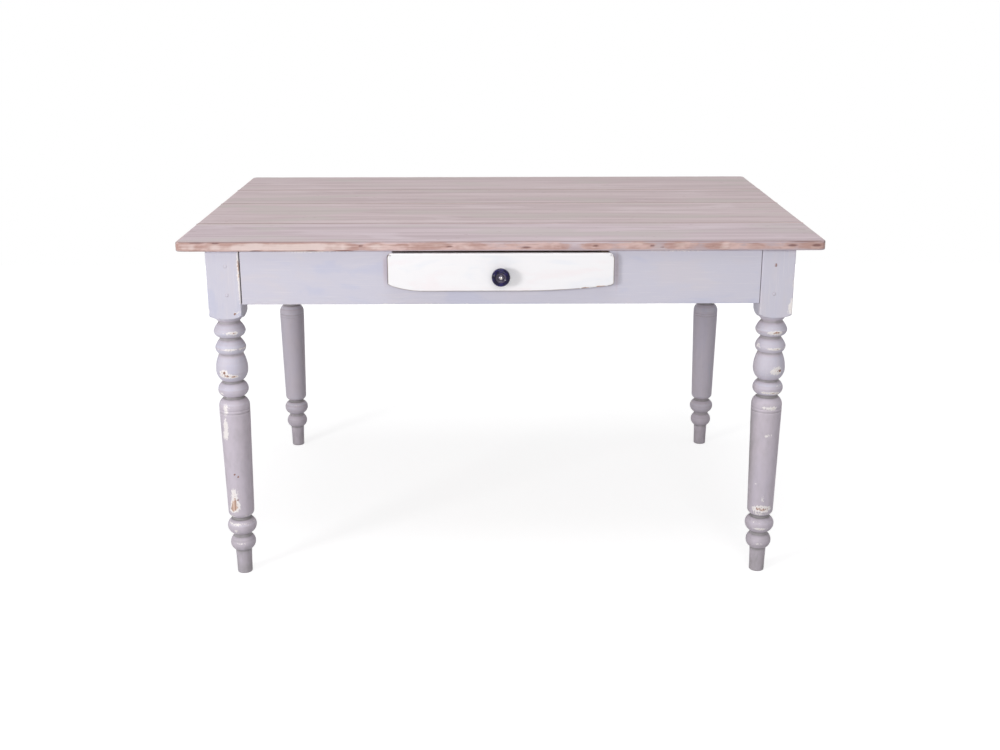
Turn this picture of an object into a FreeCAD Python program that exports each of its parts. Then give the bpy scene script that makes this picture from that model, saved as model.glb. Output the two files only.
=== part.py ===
"""A painted farmhouse kitchen table: turned legs, a boarded top and one lipped drawer.

Lengths are millimetres. +X is the table's length, +Z is up, and the drawer opens towards -Y.
The origin lies on the floor under the middle of the whole table, knob included.
"""
import FreeCAD, Part
import math
import os
from types import SimpleNamespace

import Sketcher
from FreeCAD import Placement, Rotation, Vector

doc = FreeCAD.newDocument("KitchenTable")

# ---------------------------------------------------------------------------------------------
# Driving sizes. Each one stands in the sheet once, and everything below is tied to it.
# ---------------------------------------------------------------------------------------------
DRIVING_SIZES = {
    # The top: four edge-jointed boards, counted from the front.
    "table_height": 770,
    "top_length": 1360,
    "top_thick": 21,
    "first_board_width": 213,
    "second_board_width": 272,
    "third_board_width": 212,
    "fourth_board_width": 233,
    "seam_gap": 0.5,
    "tongue_thick": 7,
    "tongue_reach": 8,
    "tongue_clear": 0.1,
    "tongue_end_gap": 0.5,
    "top_corner_round": 7,
    "top_upper_round": 5,
    "top_lower_round": 3,
    # The frame under the top.
    "overhang_side": 60,
    "overhang_front": 9,
    "leg_side": 70,
    "leg_arris": 2,
    "apron_height": 116,
    "apron_thick": 24,
    "apron_setback": 2,
    "apron_arris": 1.5,
    "tenon_thick": 9,
    "tenon_length": 45,
    "tenon_top_shoulder": 22,
    "tenon_bottom_shoulder": 10,
    "tenon_clear": 0.1,
    "tenon_end_gap": 0.8,
    "peg_radius": 4,
    "peg_clear": 0.05,
    "peg_from_shoulder": 29,
    "peg_inset": 11,
    "peg_past_tenon": 8,
    # The turned stretch of a leg, from the block down to the shaft.
    "block_height": 127,
    "pommel_height": 21,
    "pommel_radius": 32,
    "crown_cove_height": 10,
    "crown_neck_radius": 23.3,
    "crown_neck_height": 3,
    "crown_bead_over": 18,
    "crown_bead_under": 14,
    "crown_bead_radius": 34.2,
    "crown_flank_bend": 42,
    "collar_neck_radius": 22.5,
    "collar_neck_height": 5,
    "collar_bead_over": 18,
    "collar_bead_under": 13,
    "collar_bead_radius": 33.1,
    "collar_flank_bend": 42,
    "vase_neck_radius": 26.5,
    "vase_neck_height": 3,
    "vase_over": 35,
    "vase_under": 25,
    "vase_radius": 34.4,
    "knee_neck_radius": 22,
    "knee_neck_height": 3,
    "knee_bead_over": 17,
    "knee_bead_under": 15,
    "knee_bead_radius": 32.9,
    "shaft_neck_radius": 21.6,
    "shaft_neck_height": 4,
    "shaft_shoulder_height": 19,
    "shaft_top_radius": 33.4,
    "ring_height": 2.4,
    "ring_depth": 1.2,
    "ring_spacing": 7,
    # The turned stretch of a leg, from the floor up to the shaft.
    "foot_height": 57,
    "foot_radius": 17.6,
    "foot_arris": 2,
    "foot_neck_radius": 18.4,
    "ankle_bead_under": 17,
    "ankle_bead_over": 17,
    "ankle_bead_radius": 28,
    "ankle_neck_radius": 19.8,
    "ankle_neck_height": 6,
    "calf_bead_under": 19,
    "calf_bead_over": 17,
    "calf_bead_radius": 32.2,
    "calf_neck_radius": 19.5,
    "calf_neck_height": 5,
    "shaft_foot_height": 12,
    "shaft_foot_radius": 28.6,
    # The wooden buttons that hold the top down, and their screws.
    "button_width": 28,
    "button_reach": 35,
    "button_thick": 18,
    "button_tongue_thick": 6.4,
    "button_tongue_reach": 7,
    "button_groove_drop": 10,
    "button_groove_height": 7,
    "button_groove_depth": 8,
    "button_from_leg": 150,
    "button_screw_bite": 12,
    "screw_radius": 2,
    "screw_clear": 0.05,
    "screw_head_radius": 4,
    "screw_head_height": 2.4,
    # The drawer's opening and what carries the drawer.
    "opening_width": 456,
    "sill_height": 47,
    "guide_thick": 22,
    "guide_height": 88,
    "guide_top_gap": 4,
    "guide_tenon_thick": 12,
    "guide_tenon_shoulder": 12,
    "guide_tenon_length": 10,
    "runner_width": 18,
    "runner_height": 18,
    "runner_past_drawer": 14,
    "runner_screw_bite": 12,
    # The drawer.
    "drawer_depth": 480,
    "drawer_side_gap": 1,
    "drawer_run_gap": 0.3,
    "drawer_side_thick": 12,
    "drawer_side_height": 62,
    "drawer_back_thick": 12,
    "drawer_back_inset": 6,
    "drawer_back_drop": 5,
    "dado_depth": 3,
    "bottom_thick": 5,
    "bottom_rise": 4.5,
    "bottom_groove_depth": 6,
    "bottom_clear": 0.1,
    "front_width": 476,
    "front_top_gap": 4,
    "front_height": 81,
    "front_thick": 15,
    "front_block_thick": 12,
    "front_block_rise": 2,
    "front_seat_gap": 0.3,
    "front_left_sweep_length": 70,
    "front_right_sweep_length": 190,
    "front_sweep_rise": 12,
    "front_tip_length": 6,
    "front_tip_rise": 4,
    "front_left_corner_round": 9,
    "front_right_corner_round": 12,
    "front_arris": 1.5,
    "nail_radius": 1.1,
    "nail_length": 34,
    "nail_clear": 0.05,
    # The knob and its bolt.
    "knob_above_edge": 34,
    "collar_radius": 10.5,
    "collar_thick": 3,
    "knob_radius": 19.3,
    "knob_waist_radius": 8.5,
    "knob_foot_radius": 10,
    "knob_foot_length": 3,
    "knob_flare_length": 9,
    "knob_rim_length": 4,
    "knob_crown_length": 7,
    "knob_lip_radius": 12.5,
    "knob_dish_depth": 2,
    "knob_seat_depth": 1,
    "bolt_radius": 2.5,
    "bolt_clear": 0.1,
    "bolt_head_radius": 6.5,
    "bolt_head_height": 4,
    "bolt_tail": 1.5,
    "washer_radius": 6,
    "washer_thick": 1.2,
    "nut_radius": 4.6,
    "nut_thick": 3.6,
    "thread_clear": 0.02,
}


class Size:
    """A length that knows both its number and the sheet expression that gives it."""

    def __init__(self, value, text):
        self.value = float(value)
        self.text = text

    def __add__(self, other):
        other = as_size(other)
        return Size(self.value + other.value, f"({self.text} + {other.text})")

    def __sub__(self, other):
        other = as_size(other)
        return Size(self.value - other.value, f"({self.text} - {other.text})")

    def __mul__(self, other):
        other = as_size(other)
        return Size(self.value * other.value, f"({self.text} * {other.text})")

    def __truediv__(self, other):
        other = as_size(other)
        return Size(self.value / other.value, f"({self.text} / {other.text})")

    def __neg__(self):
        return self * -1

    __radd__ = __add__
    __rmul__ = __mul__


def as_size(number):
    """Give a plain number the same form as a size from the sheet."""
    if isinstance(number, Size):
        return number
    return Size(number, f"({number})")


def make_sheet():
    """Write every driving size into the sheet, and hand them back by name."""
    sheet = doc.addObject("Spreadsheet::Sheet", "Sizes")
    for row, (alias, value) in enumerate(DRIVING_SIZES.items(), start=1):
        sheet.set(f"A{row}", alias)
        sheet.set(f"B{row}", str(value))
        sheet.setAlias(f"B{row}", alias)
    return SimpleNamespace(**{
        alias: Size(value, f"Sizes.{alias}") for alias, value in DRIVING_SIZES.items()
    })


S = make_sheet()
doc.recompute()
ZERO = as_size(0)
LEFT, RIGHT = -1, 1
FRONT, BACK = -1, 1

# Levels above the floor.
top_underside = S.table_height - S.top_thick
block_bottom = top_underside - S.block_height
apron_bottom = top_underside - S.apron_height
tenon_bottom = apron_bottom + S.tenon_bottom_shoulder
tenon_top = top_underside - S.tenon_top_shoulder
peg_levels = (tenon_bottom + S.peg_inset, tenon_top - S.peg_inset)
sill = apron_bottom + S.sill_height
groove_top = top_underside - S.button_groove_drop
groove_bottom = groove_top - S.button_groove_height

# Plan of the table, measured from the middle of its top.
board_widths = (S.first_board_width, S.second_board_width, S.third_board_width, S.fourth_board_width)
top_depth = board_widths[0] + board_widths[1] + board_widths[2] + board_widths[3]
half_length = S.top_length / 2
half_depth = top_depth / 2
frame_x = half_length - S.overhang_side
frame_y = half_depth - S.overhang_front
half_leg = S.leg_side / 2
leg_x = frame_x - half_leg
leg_y = frame_y - half_leg
shoulder_x = frame_x - S.leg_side
shoulder_y = frame_y - S.leg_side
apron_outer_x = frame_x - S.apron_setback
apron_outer_y = frame_y - S.apron_setback
apron_inner_x = apron_outer_x - S.apron_thick
apron_inner_y = apron_outer_y - S.apron_thick
tenon_skin = S.apron_setback + (S.apron_thick - S.tenon_thick) / 2
peg_length = tenon_skin + S.tenon_thick + S.peg_past_tenon

# The drawer, closed. Its y values run back from the rear face of the lip.
half_opening = S.opening_width / 2
drawer_half_width = half_opening - S.drawer_side_gap
drawer_inner_half = drawer_half_width - S.drawer_side_thick
lip_back_y = -apron_outer_y - S.front_seat_gap
front_face_y = lip_back_y - S.front_thick
front_block_back_y = lip_back_y + S.front_block_thick
drawer_end_y = lip_back_y + S.drawer_depth
drawer_back_rear_y = drawer_end_y - S.drawer_back_inset
drawer_back_front_y = drawer_back_rear_y - S.drawer_back_thick
drawer_floor = sill + S.drawer_run_gap
drawer_top = drawer_floor + S.drawer_side_height
bottom_low = drawer_floor + S.bottom_rise + S.bottom_clear
bottom_high = bottom_low + S.bottom_thick
front_top = top_underside - S.front_top_gap
front_low = front_top - S.front_height
knob_level = front_low + S.knob_above_edge

# How far the knob stands in front of the drawer's face, and the shift that this gives the table.
knob_length = S.knob_foot_length + S.knob_flare_length + S.knob_rim_length + S.knob_crown_length
cap_seat = S.collar_thick + knob_length - S.knob_dish_depth - S.knob_seat_depth
knob_reach = cap_seat + S.bolt_head_height
centre_y = (knob_reach - front_face_y - half_depth) / 2


# ---------------------------------------------------------------------------------------------
# Ways of drawing
# ---------------------------------------------------------------------------------------------
class Corner:
    """A corner of an outline, and the arc that leads on to the next corner, if it has one."""

    def __init__(self, x, y, bend=None, clockwise=False):
        self.x = as_size(x)
        self.y = as_size(y)
        self.bend = bend
        self.clockwise = clockwise

    def point(self):
        """The corner as a vector in the sketch."""
        return Vector(self.x.value, self.y.value, 0)


class Ring:
    """A full circle in a sketch."""

    def __init__(self, x, y, radius):
        self.x = as_size(x)
        self.y = as_size(y)
        self.radius = as_size(radius)


def rectangle(x_one, y_one, x_two, y_two):
    """The four corners of an upright rectangle, whichever corners are given."""
    x_one, x_two = as_size(x_one), as_size(x_two)
    y_one, y_two = as_size(y_one), as_size(y_two)
    return [Corner(x_one, y_one), Corner(x_two, y_one), Corner(x_two, y_two), Corner(x_one, y_two)]


def arc_between(start, end, radius, clockwise):
    """The shorter arc of the given radius from one point to another."""
    chord = end - start
    middle = (start + end) * 0.5
    height = math.sqrt(max(radius * radius - chord.Length * chord.Length / 4, 0))
    left = Vector(-chord.y, chord.x, 0).normalize()
    centre = middle - left * height if clockwise else middle + left * height
    first, last = (end, start) if clockwise else (start, end)
    first_angle = math.atan2(first.y - centre.y, first.x - centre.x)
    last_angle = math.atan2(last.y - centre.y, last.x - centre.x)
    if last_angle < first_angle:
        last_angle += 2 * math.pi
    circle = Part.Circle(centre, Vector(0, 0, 1), radius)
    return Part.ArcOfCircle(circle, first_angle, last_angle)


ORIGIN = (-1, 1)


def draw_loop(sketch, corners, bounds):
    """Draw one closed outline and collect the constraints that tie it to the sheet."""
    first_edge = sketch.GeometryCount
    count = len(corners)
    starts, ends = [], []
    for index, corner in enumerate(corners):
        after = corners[(index + 1) % count]
        if corner.bend is None:
            sketch.addGeometry(Part.LineSegment(corner.point(), after.point()))
            starts.append(1)
            ends.append(2)
        else:
            arc = arc_between(corner.point(), after.point(), corner.bend.value, corner.clockwise)
            sketch.addGeometry(arc)
            starts.append(2 if corner.clockwise else 1)
            ends.append(1 if corner.clockwise else 2)
    for index, corner in enumerate(corners):
        edge = first_edge + index
        after = (index + 1) % count
        join = Sketcher.Constraint("Coincident", edge, ends[index], first_edge + after, starts[after])
        bounds.append((join, None))
        across = Sketcher.Constraint("DistanceX", *ORIGIN, edge, starts[index], corner.x.value)
        bounds.append((across, corner.x))
        upward = Sketcher.Constraint("DistanceY", *ORIGIN, edge, starts[index], corner.y.value)
        bounds.append((upward, corner.y))
        if corner.bend is not None:
            bounds.append((Sketcher.Constraint("Radius", edge, corner.bend.value), corner.bend))


def draw_ring(sketch, ring, bounds):
    """Draw a circle and collect the constraints that tie it to the sheet."""
    edge = sketch.GeometryCount
    centre = Vector(ring.x.value, ring.y.value, 0)
    sketch.addGeometry(Part.Circle(centre, Vector(0, 0, 1), ring.radius.value))
    bounds.append((Sketcher.Constraint("DistanceX", *ORIGIN, edge, 3, ring.x.value), ring.x))
    bounds.append((Sketcher.Constraint("DistanceY", *ORIGIN, edge, 3, ring.y.value), ring.y))
    bounds.append((Sketcher.Constraint("Radius", edge, ring.radius.value), ring.radius))


def draw_sketch(body, name, plane, shapes, offset=ZERO):
    """A sketch on one of the body's own origin planes, moved along its normal by offset."""
    sketch = body.newObject("Sketcher::SketchObject", name)
    support = next(item for item in body.Origin.OriginFeatures if item.Role == plane)
    sketch.AttachmentSupport = [(support, "")]
    sketch.MapMode = "FlatFace"
    sketch.setExpression("AttachmentOffset.Base.z", offset.text)
    bounds = []
    for shape in shapes:
        if isinstance(shape, Ring):
            draw_ring(sketch, shape, bounds)
        else:
            draw_loop(sketch, shape, bounds)
    sketch.addConstraint([constraint for constraint, _ in bounds])
    for index, (_, size) in enumerate(bounds):
        if size is not None:
            sketch.setExpression(f"Constraints[{index}]", size.text)
    return sketch


# Which way each origin plane's normal points along its own axis.
NORMAL_SIGN = {"XY_Plane": 1, "XZ_Plane": -1, "YZ_Plane": 1}


def new_body(name, x=ZERO, y=ZERO, z=ZERO, turn=0):
    """A body placed in the table's frame, turned about the vertical by a number of degrees."""
    body = doc.addObject("PartDesign::Body", name)
    place(body, x, y, z, Rotation(Vector(0, 0, 1), turn))
    return body


def place(thing, x, y, z, rotation=Rotation()):
    """Give an object its Placement, tied to the sheet. The y is measured from the top's middle."""
    thing.Placement = Placement(Vector(), rotation)
    thing.setExpression("Placement.Base.x", as_size(x).text)
    thing.setExpression("Placement.Base.y", (as_size(y) + centre_y).text)
    thing.setExpression("Placement.Base.z", as_size(z).text)


def check_volume(body, name, before, cutting):
    """Stop if a feature that should add or remove material did neither."""
    doc.recompute()
    change = body.Shape.Volume - before
    if (change >= 0) if cutting else (change <= 0):
        raise RuntimeError(f"{name} leaves {body.Name} unchanged")


def extrude(body, name, plane, shapes, start, length, cut=False):
    """Pad or pocket outlines from start along the plane's axis, towards its positive end."""
    sign = NORMAL_SIGN[plane]
    before = body.Shape.Volume if body.Tip else 0
    sketch = draw_sketch(body, f"{name}_outline", plane, shapes, as_size(start) * sign)
    feature = body.newObject("PartDesign::Pocket" if cut else "PartDesign::Pad", name)
    feature.Profile = sketch
    feature.setExpression("Length", as_size(length).text)
    feature.Reversed = (sign > 0) if cut else (sign < 0)
    check_volume(body, name, before, cut)
    return feature


def revolve(body, name, plane, shapes, axis, cut=False):
    """Turn outlines once about an axis of their own sketch."""
    before = body.Shape.Volume if body.Tip else 0
    sketch = draw_sketch(body, f"{name}_outline", plane, shapes)
    feature = body.newObject("PartDesign::Groove" if cut else "PartDesign::Revolution", name)
    feature.Profile = sketch
    feature.ReferenceAxis = (sketch, [axis])
    feature.Angle = 360
    check_volume(body, name, before, cut)
    return feature


def dress_edges(body, name, kind, measure, size, wanted):
    """Round or bevel every edge of the body's last feature that passes a test."""
    base = body.Tip
    names = [
        f"Edge{number}"
        for number, edge in enumerate(base.Shape.Edges, start=1)
        if wanted(edge)
    ]
    dressed = body.newObject(kind, name)
    dressed.Base = (base, names)
    dressed.setExpression(measure, as_size(size).text)
    doc.recompute()
    return dressed


def ease(body, name, radius, wanted):
    """Round every edge that passes a test."""
    return dress_edges(body, name, "PartDesign::Fillet", "Radius", radius, wanted)


def bevel(body, name, width, wanted):
    """Cut off every edge that passes a test, at 45 degrees."""
    return dress_edges(body, name, "PartDesign::Chamfer", "Size", width, wanted)


def near(one, two):
    """Whether two coordinates are the same, to within a hundredth of a millimetre."""
    return abs(one - two) < 0.01


NODES = []


def finish_node(thing, name):
    """Name a finished sub-part and keep it for the export."""
    thing.Label = name
    NODES.append(thing)
    return thing


def swell(radius_at_belly, radius_at_end, rise):
    """The radius of an arc that leaves a belly upright and meets the end of the swell."""
    inward = radius_at_belly - radius_at_end
    return (inward * inward + rise * rise) / (inward * 2)


# ---------------------------------------------------------------------------------------------
# The top
# ---------------------------------------------------------------------------------------------
def button_places():
    """Where each button stands: its foot on an apron's inner face, and the turn that faces in."""
    along = shoulder_x - S.button_from_leg
    front_edge = -half_depth
    second_middle = front_edge + S.first_board_width + S.second_board_width / 2
    third_middle = half_depth - S.fourth_board_width - S.third_board_width / 2
    places = []
    for side in (LEFT, RIGHT):
        places.append((along * side, -apron_inner_y, 0))
        places.append((along * side, apron_inner_y, 180))
        side_turn = 90 if side == RIGHT else -90
        places.append((apron_inner_x * side, second_middle, side_turn))
        places.append((apron_inner_x * side, third_middle, side_turn))
    return places


def screw_spot(x, y, turn):
    """The middle of a button in plan, half its reach in from the apron."""
    inward = {0: (0, 1), 180: (0, -1), 90: (-1, 0), -90: (1, 0)}[turn]
    reach = S.button_reach / 2
    return x + reach * inward[0], y + reach * inward[1]


def make_board(number, low_y, high_y):
    """One board of the top: a groove in its front edge and a tongue on its rear edge."""
    first = number == 1
    last = number == len(board_widths)
    name = f"tabletop_board_{number}"
    body = new_body(name)
    tongue_low = top_underside + (S.top_thick - S.tongue_thick) / 2
    tongue_high = tongue_low + S.tongue_thick
    rear = high_y if last else high_y - S.seam_gap
    section = [Corner(low_y, top_underside), Corner(rear, top_underside)]
    if not last:
        tip = high_y + S.tongue_reach
        section += [Corner(rear, tongue_low), Corner(tip, tongue_low)]
        section += [Corner(tip, tongue_high), Corner(rear, tongue_high)]
    section += [Corner(rear, S.table_height), Corner(low_y, S.table_height)]
    if not first:
        depth = low_y + S.tongue_reach + S.tongue_end_gap
        section += [Corner(low_y, tongue_high + S.tongue_clear)]
        section += [Corner(depth, tongue_high + S.tongue_clear)]
        section += [Corner(depth, tongue_low - S.tongue_clear)]
        section += [Corner(low_y, tongue_low - S.tongue_clear)]
    extrude(body, "plank", "YZ_Plane", [section], -half_length, S.top_length)

    spots = [screw_spot(*spot) for spot in button_places()]
    rings = [
        Ring(x, y, S.screw_radius + S.screw_clear)
        for x, y in spots
        if low_y.value < y.value < high_y.value
    ]
    pilot = S.button_screw_bite + S.tenon_end_gap
    extrude(body, "screw_pilots", "XY_Plane", rings, top_underside, pilot, cut=True)

    outer_y = [low_y.value] if first else [high_y.value] if last else []

    def on_outside(edge):
        """Whether an edge lies on an outside face of the whole top."""
        box = edge.BoundBox
        across = near(abs(box.XMin), half_length.value) and near(box.XMin, box.XMax)
        along = any(near(box.YMin, y) and near(box.YMax, y) for y in outer_y)
        return across or along

    def upright_corner(edge):
        """Whether an edge is one of the top's four upright corners."""
        box = edge.BoundBox
        tall = near(box.ZLength, S.top_thick.value)
        return tall and any(near(box.YMin, y) and near(box.YMax, y) for y in outer_y)

    def rim(level):
        """A test for the edges round the outside of the top at one level."""
        def test(edge):
            box = edge.BoundBox
            flat = near(box.ZMin, level) and near(box.ZMax, level)
            round_corner = flat and edge.Curve.TypeId == "Part::GeomCircle"
            corner_sized = round_corner and near(edge.Curve.Radius, S.top_corner_round.value)
            return flat and (on_outside(edge) or corner_sized)
        return test

    if outer_y:
        ease(body, "corner_round", S.top_corner_round, upright_corner)
    ease(body, "upper_round", S.top_upper_round, rim(S.table_height.value))
    ease(body, "lower_round", S.top_lower_round, rim(top_underside.value))
    finish_node(body, name)


def make_top():
    """The four boards, from the front edge to the back edge."""
    edge = -half_depth
    for number, width in enumerate(board_widths, start=1):
        make_board(number, edge, edge + width)
        edge = edge + width


# ---------------------------------------------------------------------------------------------
# The legs
# ---------------------------------------------------------------------------------------------
def leg_waste():
    """What the turner removes: the leg's profile from the floor up, closed outside the billet."""
    corners = [Corner(S.foot_radius - S.foot_arris, ZERO), Corner(S.foot_radius, S.foot_arris)]

    def bead(level, neck, under, radius, over, next_neck, flank_bend=None):
        """Two arcs that meet at the bead's belly. Gives the level of its upper end.

        Both arcs are upright at the belly, unless the upper flank has a flatter bend of its own.
        """
        corners.append(Corner(neck, level, swell(radius, neck, under)))
        bend = swell(radius, next_neck, over) if flank_bend is None else flank_bend
        corners.append(Corner(radius, level + under, bend))
        return level + under + over

    level = bead(S.foot_height, S.foot_neck_radius, S.ankle_bead_under, S.ankle_bead_radius,
                 S.ankle_bead_over, S.ankle_neck_radius)
    corners.append(Corner(S.ankle_neck_radius, level))
    level = level + S.ankle_neck_height
    level = bead(level, S.ankle_neck_radius, S.calf_bead_under, S.calf_bead_radius,
                 S.calf_bead_over, S.calf_neck_radius)
    corners.append(Corner(S.calf_neck_radius, level))
    level = level + S.calf_neck_height
    foot_swell = swell(S.shaft_foot_radius, S.calf_neck_radius, S.shaft_foot_height)
    corners.append(Corner(S.calf_neck_radius, level, foot_swell))
    corners.append(Corner(S.shaft_foot_radius, level + S.shaft_foot_height))

    # The levels above the tapered shaft hang from the block, so that the shaft takes up the rest.
    crown_top = block_bottom - S.pommel_height - S.crown_cove_height - S.crown_neck_height
    collar_top = crown_top - S.crown_bead_over - S.crown_bead_under - S.collar_neck_height
    vase_top = collar_top - S.collar_bead_over - S.collar_bead_under - S.vase_neck_height
    knee_top = vase_top - S.vase_over - S.vase_under - S.knee_neck_height
    shoulder = knee_top - S.knee_bead_over - S.knee_bead_under - S.shaft_neck_height
    shaft_top = shoulder - S.shaft_shoulder_height

    for step in (2, 1):
        ring_level = shaft_top - S.ring_spacing * step
        corners.append(Corner(S.shaft_top_radius, ring_level))
        corners.append(Corner(S.shaft_top_radius - S.ring_depth, ring_level + S.ring_height / 2))
        corners.append(Corner(S.shaft_top_radius, ring_level + S.ring_height))
    shoulder_swell = swell(S.shaft_top_radius, S.shaft_neck_radius, S.shaft_shoulder_height)
    corners.append(Corner(S.shaft_top_radius, shaft_top, shoulder_swell))
    corners.append(Corner(S.shaft_neck_radius, shoulder))
    level = bead(shoulder + S.shaft_neck_height, S.shaft_neck_radius, S.knee_bead_under,
                 S.knee_bead_radius, S.knee_bead_over, S.knee_neck_radius)
    corners.append(Corner(S.knee_neck_radius, level))
    level = bead(level + S.knee_neck_height, S.knee_neck_radius, S.vase_under,
                 S.vase_radius, S.vase_over, S.vase_neck_radius)
    corners.append(Corner(S.vase_neck_radius, level))
    level = bead(level + S.vase_neck_height, S.vase_neck_radius, S.collar_bead_under,
                 S.collar_bead_radius, S.collar_bead_over, S.collar_neck_radius,
                 S.collar_flank_bend)
    corners.append(Corner(S.collar_neck_radius, level))
    level = bead(level + S.collar_neck_height, S.collar_neck_radius, S.crown_bead_under,
                 S.crown_bead_radius, S.crown_bead_over, S.crown_neck_radius,
                 S.crown_flank_bend)
    corners.append(Corner(S.crown_neck_radius, level))
    corners.append(Corner(S.crown_neck_radius, level + S.crown_neck_height))

    # The pommel: a quarter-round shoulder that reaches just past the billet's corners.
    outside = S.leg_side * 0.75
    pommel_level = block_bottom - S.pommel_height
    pommel = swell(outside, S.pommel_radius, S.pommel_height)
    corners.append(Corner(S.pommel_radius, pommel_level, pommel))
    corners.append(Corner(outside, block_bottom))
    corners.append(Corner(outside, ZERO))
    return corners


def make_leg(name, side_x, side_y):
    """A leg: square billet, turned below the block, with a mortise and pegs for each apron."""
    body = new_body(name, leg_x * side_x, leg_y * side_y)
    billet = rectangle(-half_leg, -half_leg, half_leg, half_leg)
    extrude(body, "billet", "XY_Plane", [billet], ZERO, top_underside)
    ease(body, "arris", S.leg_arris, lambda edge: near(edge.BoundBox.ZLength, top_underside.value))
    revolve(body, "turning", "XZ_Plane", [leg_waste()], "V_Axis", cut=True)

    skin = tenon_skin - S.tenon_clear
    mortise_width = S.tenon_thick + S.tenon_clear * 2
    outer_line = half_leg - skin
    inner_line = outer_line - mortise_width
    deep = half_leg - S.tenon_length - S.tenon_end_gap
    long_apron = rectangle(half_leg * -side_x, outer_line * side_y, deep * -side_x, inner_line * side_y)
    short_apron = rectangle(outer_line * side_x, half_leg * -side_y, inner_line * side_x, deep * -side_y)
    mortise_low = tenon_bottom - S.tenon_clear
    mortise_height = tenon_top - tenon_bottom + S.tenon_clear * 2
    extrude(body, "mortise_long", "XY_Plane", [long_apron], mortise_low, mortise_height, cut=True)
    extrude(body, "mortise_short", "XY_Plane", [short_apron], mortise_low, mortise_height, cut=True)

    hole = S.peg_radius + S.peg_clear
    across = (half_leg - S.peg_from_shoulder) * -1
    depth = peg_length + S.peg_clear
    for plane, side, turned_side in (("XZ_Plane", side_y, side_x), ("YZ_Plane", side_x, side_y)):
        rings = [Ring(across * turned_side, level, hole) for level in peg_levels]
        start = half_leg - depth if side > 0 else -half_leg
        extrude(body, f"peg_holes_{plane[:2].lower()}", plane, rings, start, depth, cut=True)
    finish_node(body, name)


def make_legs():
    """The four legs."""
    make_leg("leg_front_left", LEFT, FRONT)
    make_leg("leg_front_right", RIGHT, FRONT)
    make_leg("leg_back_left", LEFT, BACK)
    make_leg("leg_back_right", RIGHT, BACK)


# ---------------------------------------------------------------------------------------------
# The aprons
# ---------------------------------------------------------------------------------------------
def make_apron(name, plane, side, reach, outer, openings=False, guides=False):
    """An apron between two legs: tenons, peg holes, a groove for the buttons.

    reach is half its length between shoulders, and outer how far out its outer face lies.
    """
    body = new_body(name)
    inner = outer - S.apron_thick
    start = inner if side > 0 else -outer
    board = rectangle(-reach, apron_bottom, reach, top_underside)
    if openings:
        board = [
            Corner(-reach, apron_bottom), Corner(reach, apron_bottom), Corner(reach, top_underside),
            Corner(half_opening, top_underside), Corner(half_opening, sill),
            Corner(-half_opening, sill), Corner(-half_opening, top_underside),
            Corner(-reach, top_underside),
        ]
    extrude(body, "board", plane, [board], start, S.apron_thick)
    outer_face = (outer * side).value

    def lower_outer(edge):
        """Whether an edge is the long lower one on the outer face."""
        box = edge.BoundBox
        across = (box.YMin, box.YMax) if plane == "XZ_Plane" else (box.XMin, box.XMax)
        on_face = near(across[0], outer_face) and near(across[1], outer_face)
        return on_face and near(box.ZMax, apron_bottom.value)

    ease(body, "arris", S.apron_arris, lower_outer)

    cheek = (S.apron_thick - S.tenon_thick) / 2
    tip = reach + S.tenon_length
    tongue_rooms = [
        rectangle(reach * end, tenon_bottom, tip * end, tenon_top) for end in (-1, 1)
    ]
    extrude(body, "tenons", plane, tongue_rooms, start + cheek, S.tenon_thick)
    peg_line = reach + S.peg_from_shoulder
    rings = [
        Ring(peg_line * end, level, S.peg_radius + S.peg_clear)
        for end in (-1, 1)
        for level in peg_levels
    ]
    extrude(body, "peg_holes", plane, rings, start, S.apron_thick, cut=True)

    groove_start = inner if side > 0 else -inner - S.button_groove_depth
    groove = rectangle(-reach, groove_bottom, reach, groove_top)
    extrude(body, "button_groove", plane, [groove], groove_start, S.button_groove_depth, cut=True)

    if guides:
        depth = S.guide_tenon_length + S.tenon_end_gap
        housing_start = inner if side > 0 else -inner - depth
        extrude(body, "guide_mortises", plane, guide_mortises(), housing_start, depth, cut=True)
    finish_node(body, name)


def make_aprons():
    """The four aprons. The front one is cut out for the drawer."""
    make_apron("apron_front", "XZ_Plane", FRONT, shoulder_x, apron_outer_y, openings=True, guides=True)
    make_apron("apron_back", "XZ_Plane", BACK, shoulder_x, apron_outer_y, guides=True)
    make_apron("apron_left", "YZ_Plane", LEFT, shoulder_y, apron_outer_x)
    make_apron("apron_right", "YZ_Plane", RIGHT, shoulder_y, apron_outer_x)


def rod(name, radius, length, x, y, z, axis):
    """A round bar from a point along a direction."""
    bar = doc.addObject("Part::Cylinder", name)
    bar.setExpression("Radius", as_size(radius).text)
    bar.setExpression("Height", as_size(length).text)
    place(bar, x, y, z, Rotation(Vector(0, 0, 1), axis))
    return bar


def group(name, things):
    """Several separate solids that share one node."""
    compound = doc.addObject("Part::Compound", name)
    compound.Links = things
    return finish_node(compound, name)


def make_pegs():
    """Two pegs through each tenon, driven from the outside and cut off flush."""
    pegs = []
    line_x = shoulder_x + S.peg_from_shoulder
    line_y = shoulder_y + S.peg_from_shoulder
    for side_x in (LEFT, RIGHT):
        for side_y in (FRONT, BACK):
            for level in peg_levels:
                count = len(pegs)
                long_peg = rod(f"peg_{count}", S.peg_radius, peg_length, line_x * side_x,
                               frame_y * side_y, level, Vector(0, -side_y, 0))
                short_peg = rod(f"peg_{count + 1}", S.peg_radius, peg_length, frame_x * side_x,
                                line_y * side_y, level, Vector(-side_x, 0, 0))
                pegs += [long_peg, short_peg]
    group("tenon_pegs", pegs)


# ---------------------------------------------------------------------------------------------
# What carries the drawer
# ---------------------------------------------------------------------------------------------
guide_top = top_underside - S.guide_top_gap
guide_bottom = guide_top - S.guide_height
guide_middle = half_opening + S.guide_thick / 2
runner_middle = sill - S.runner_height / 2


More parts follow.
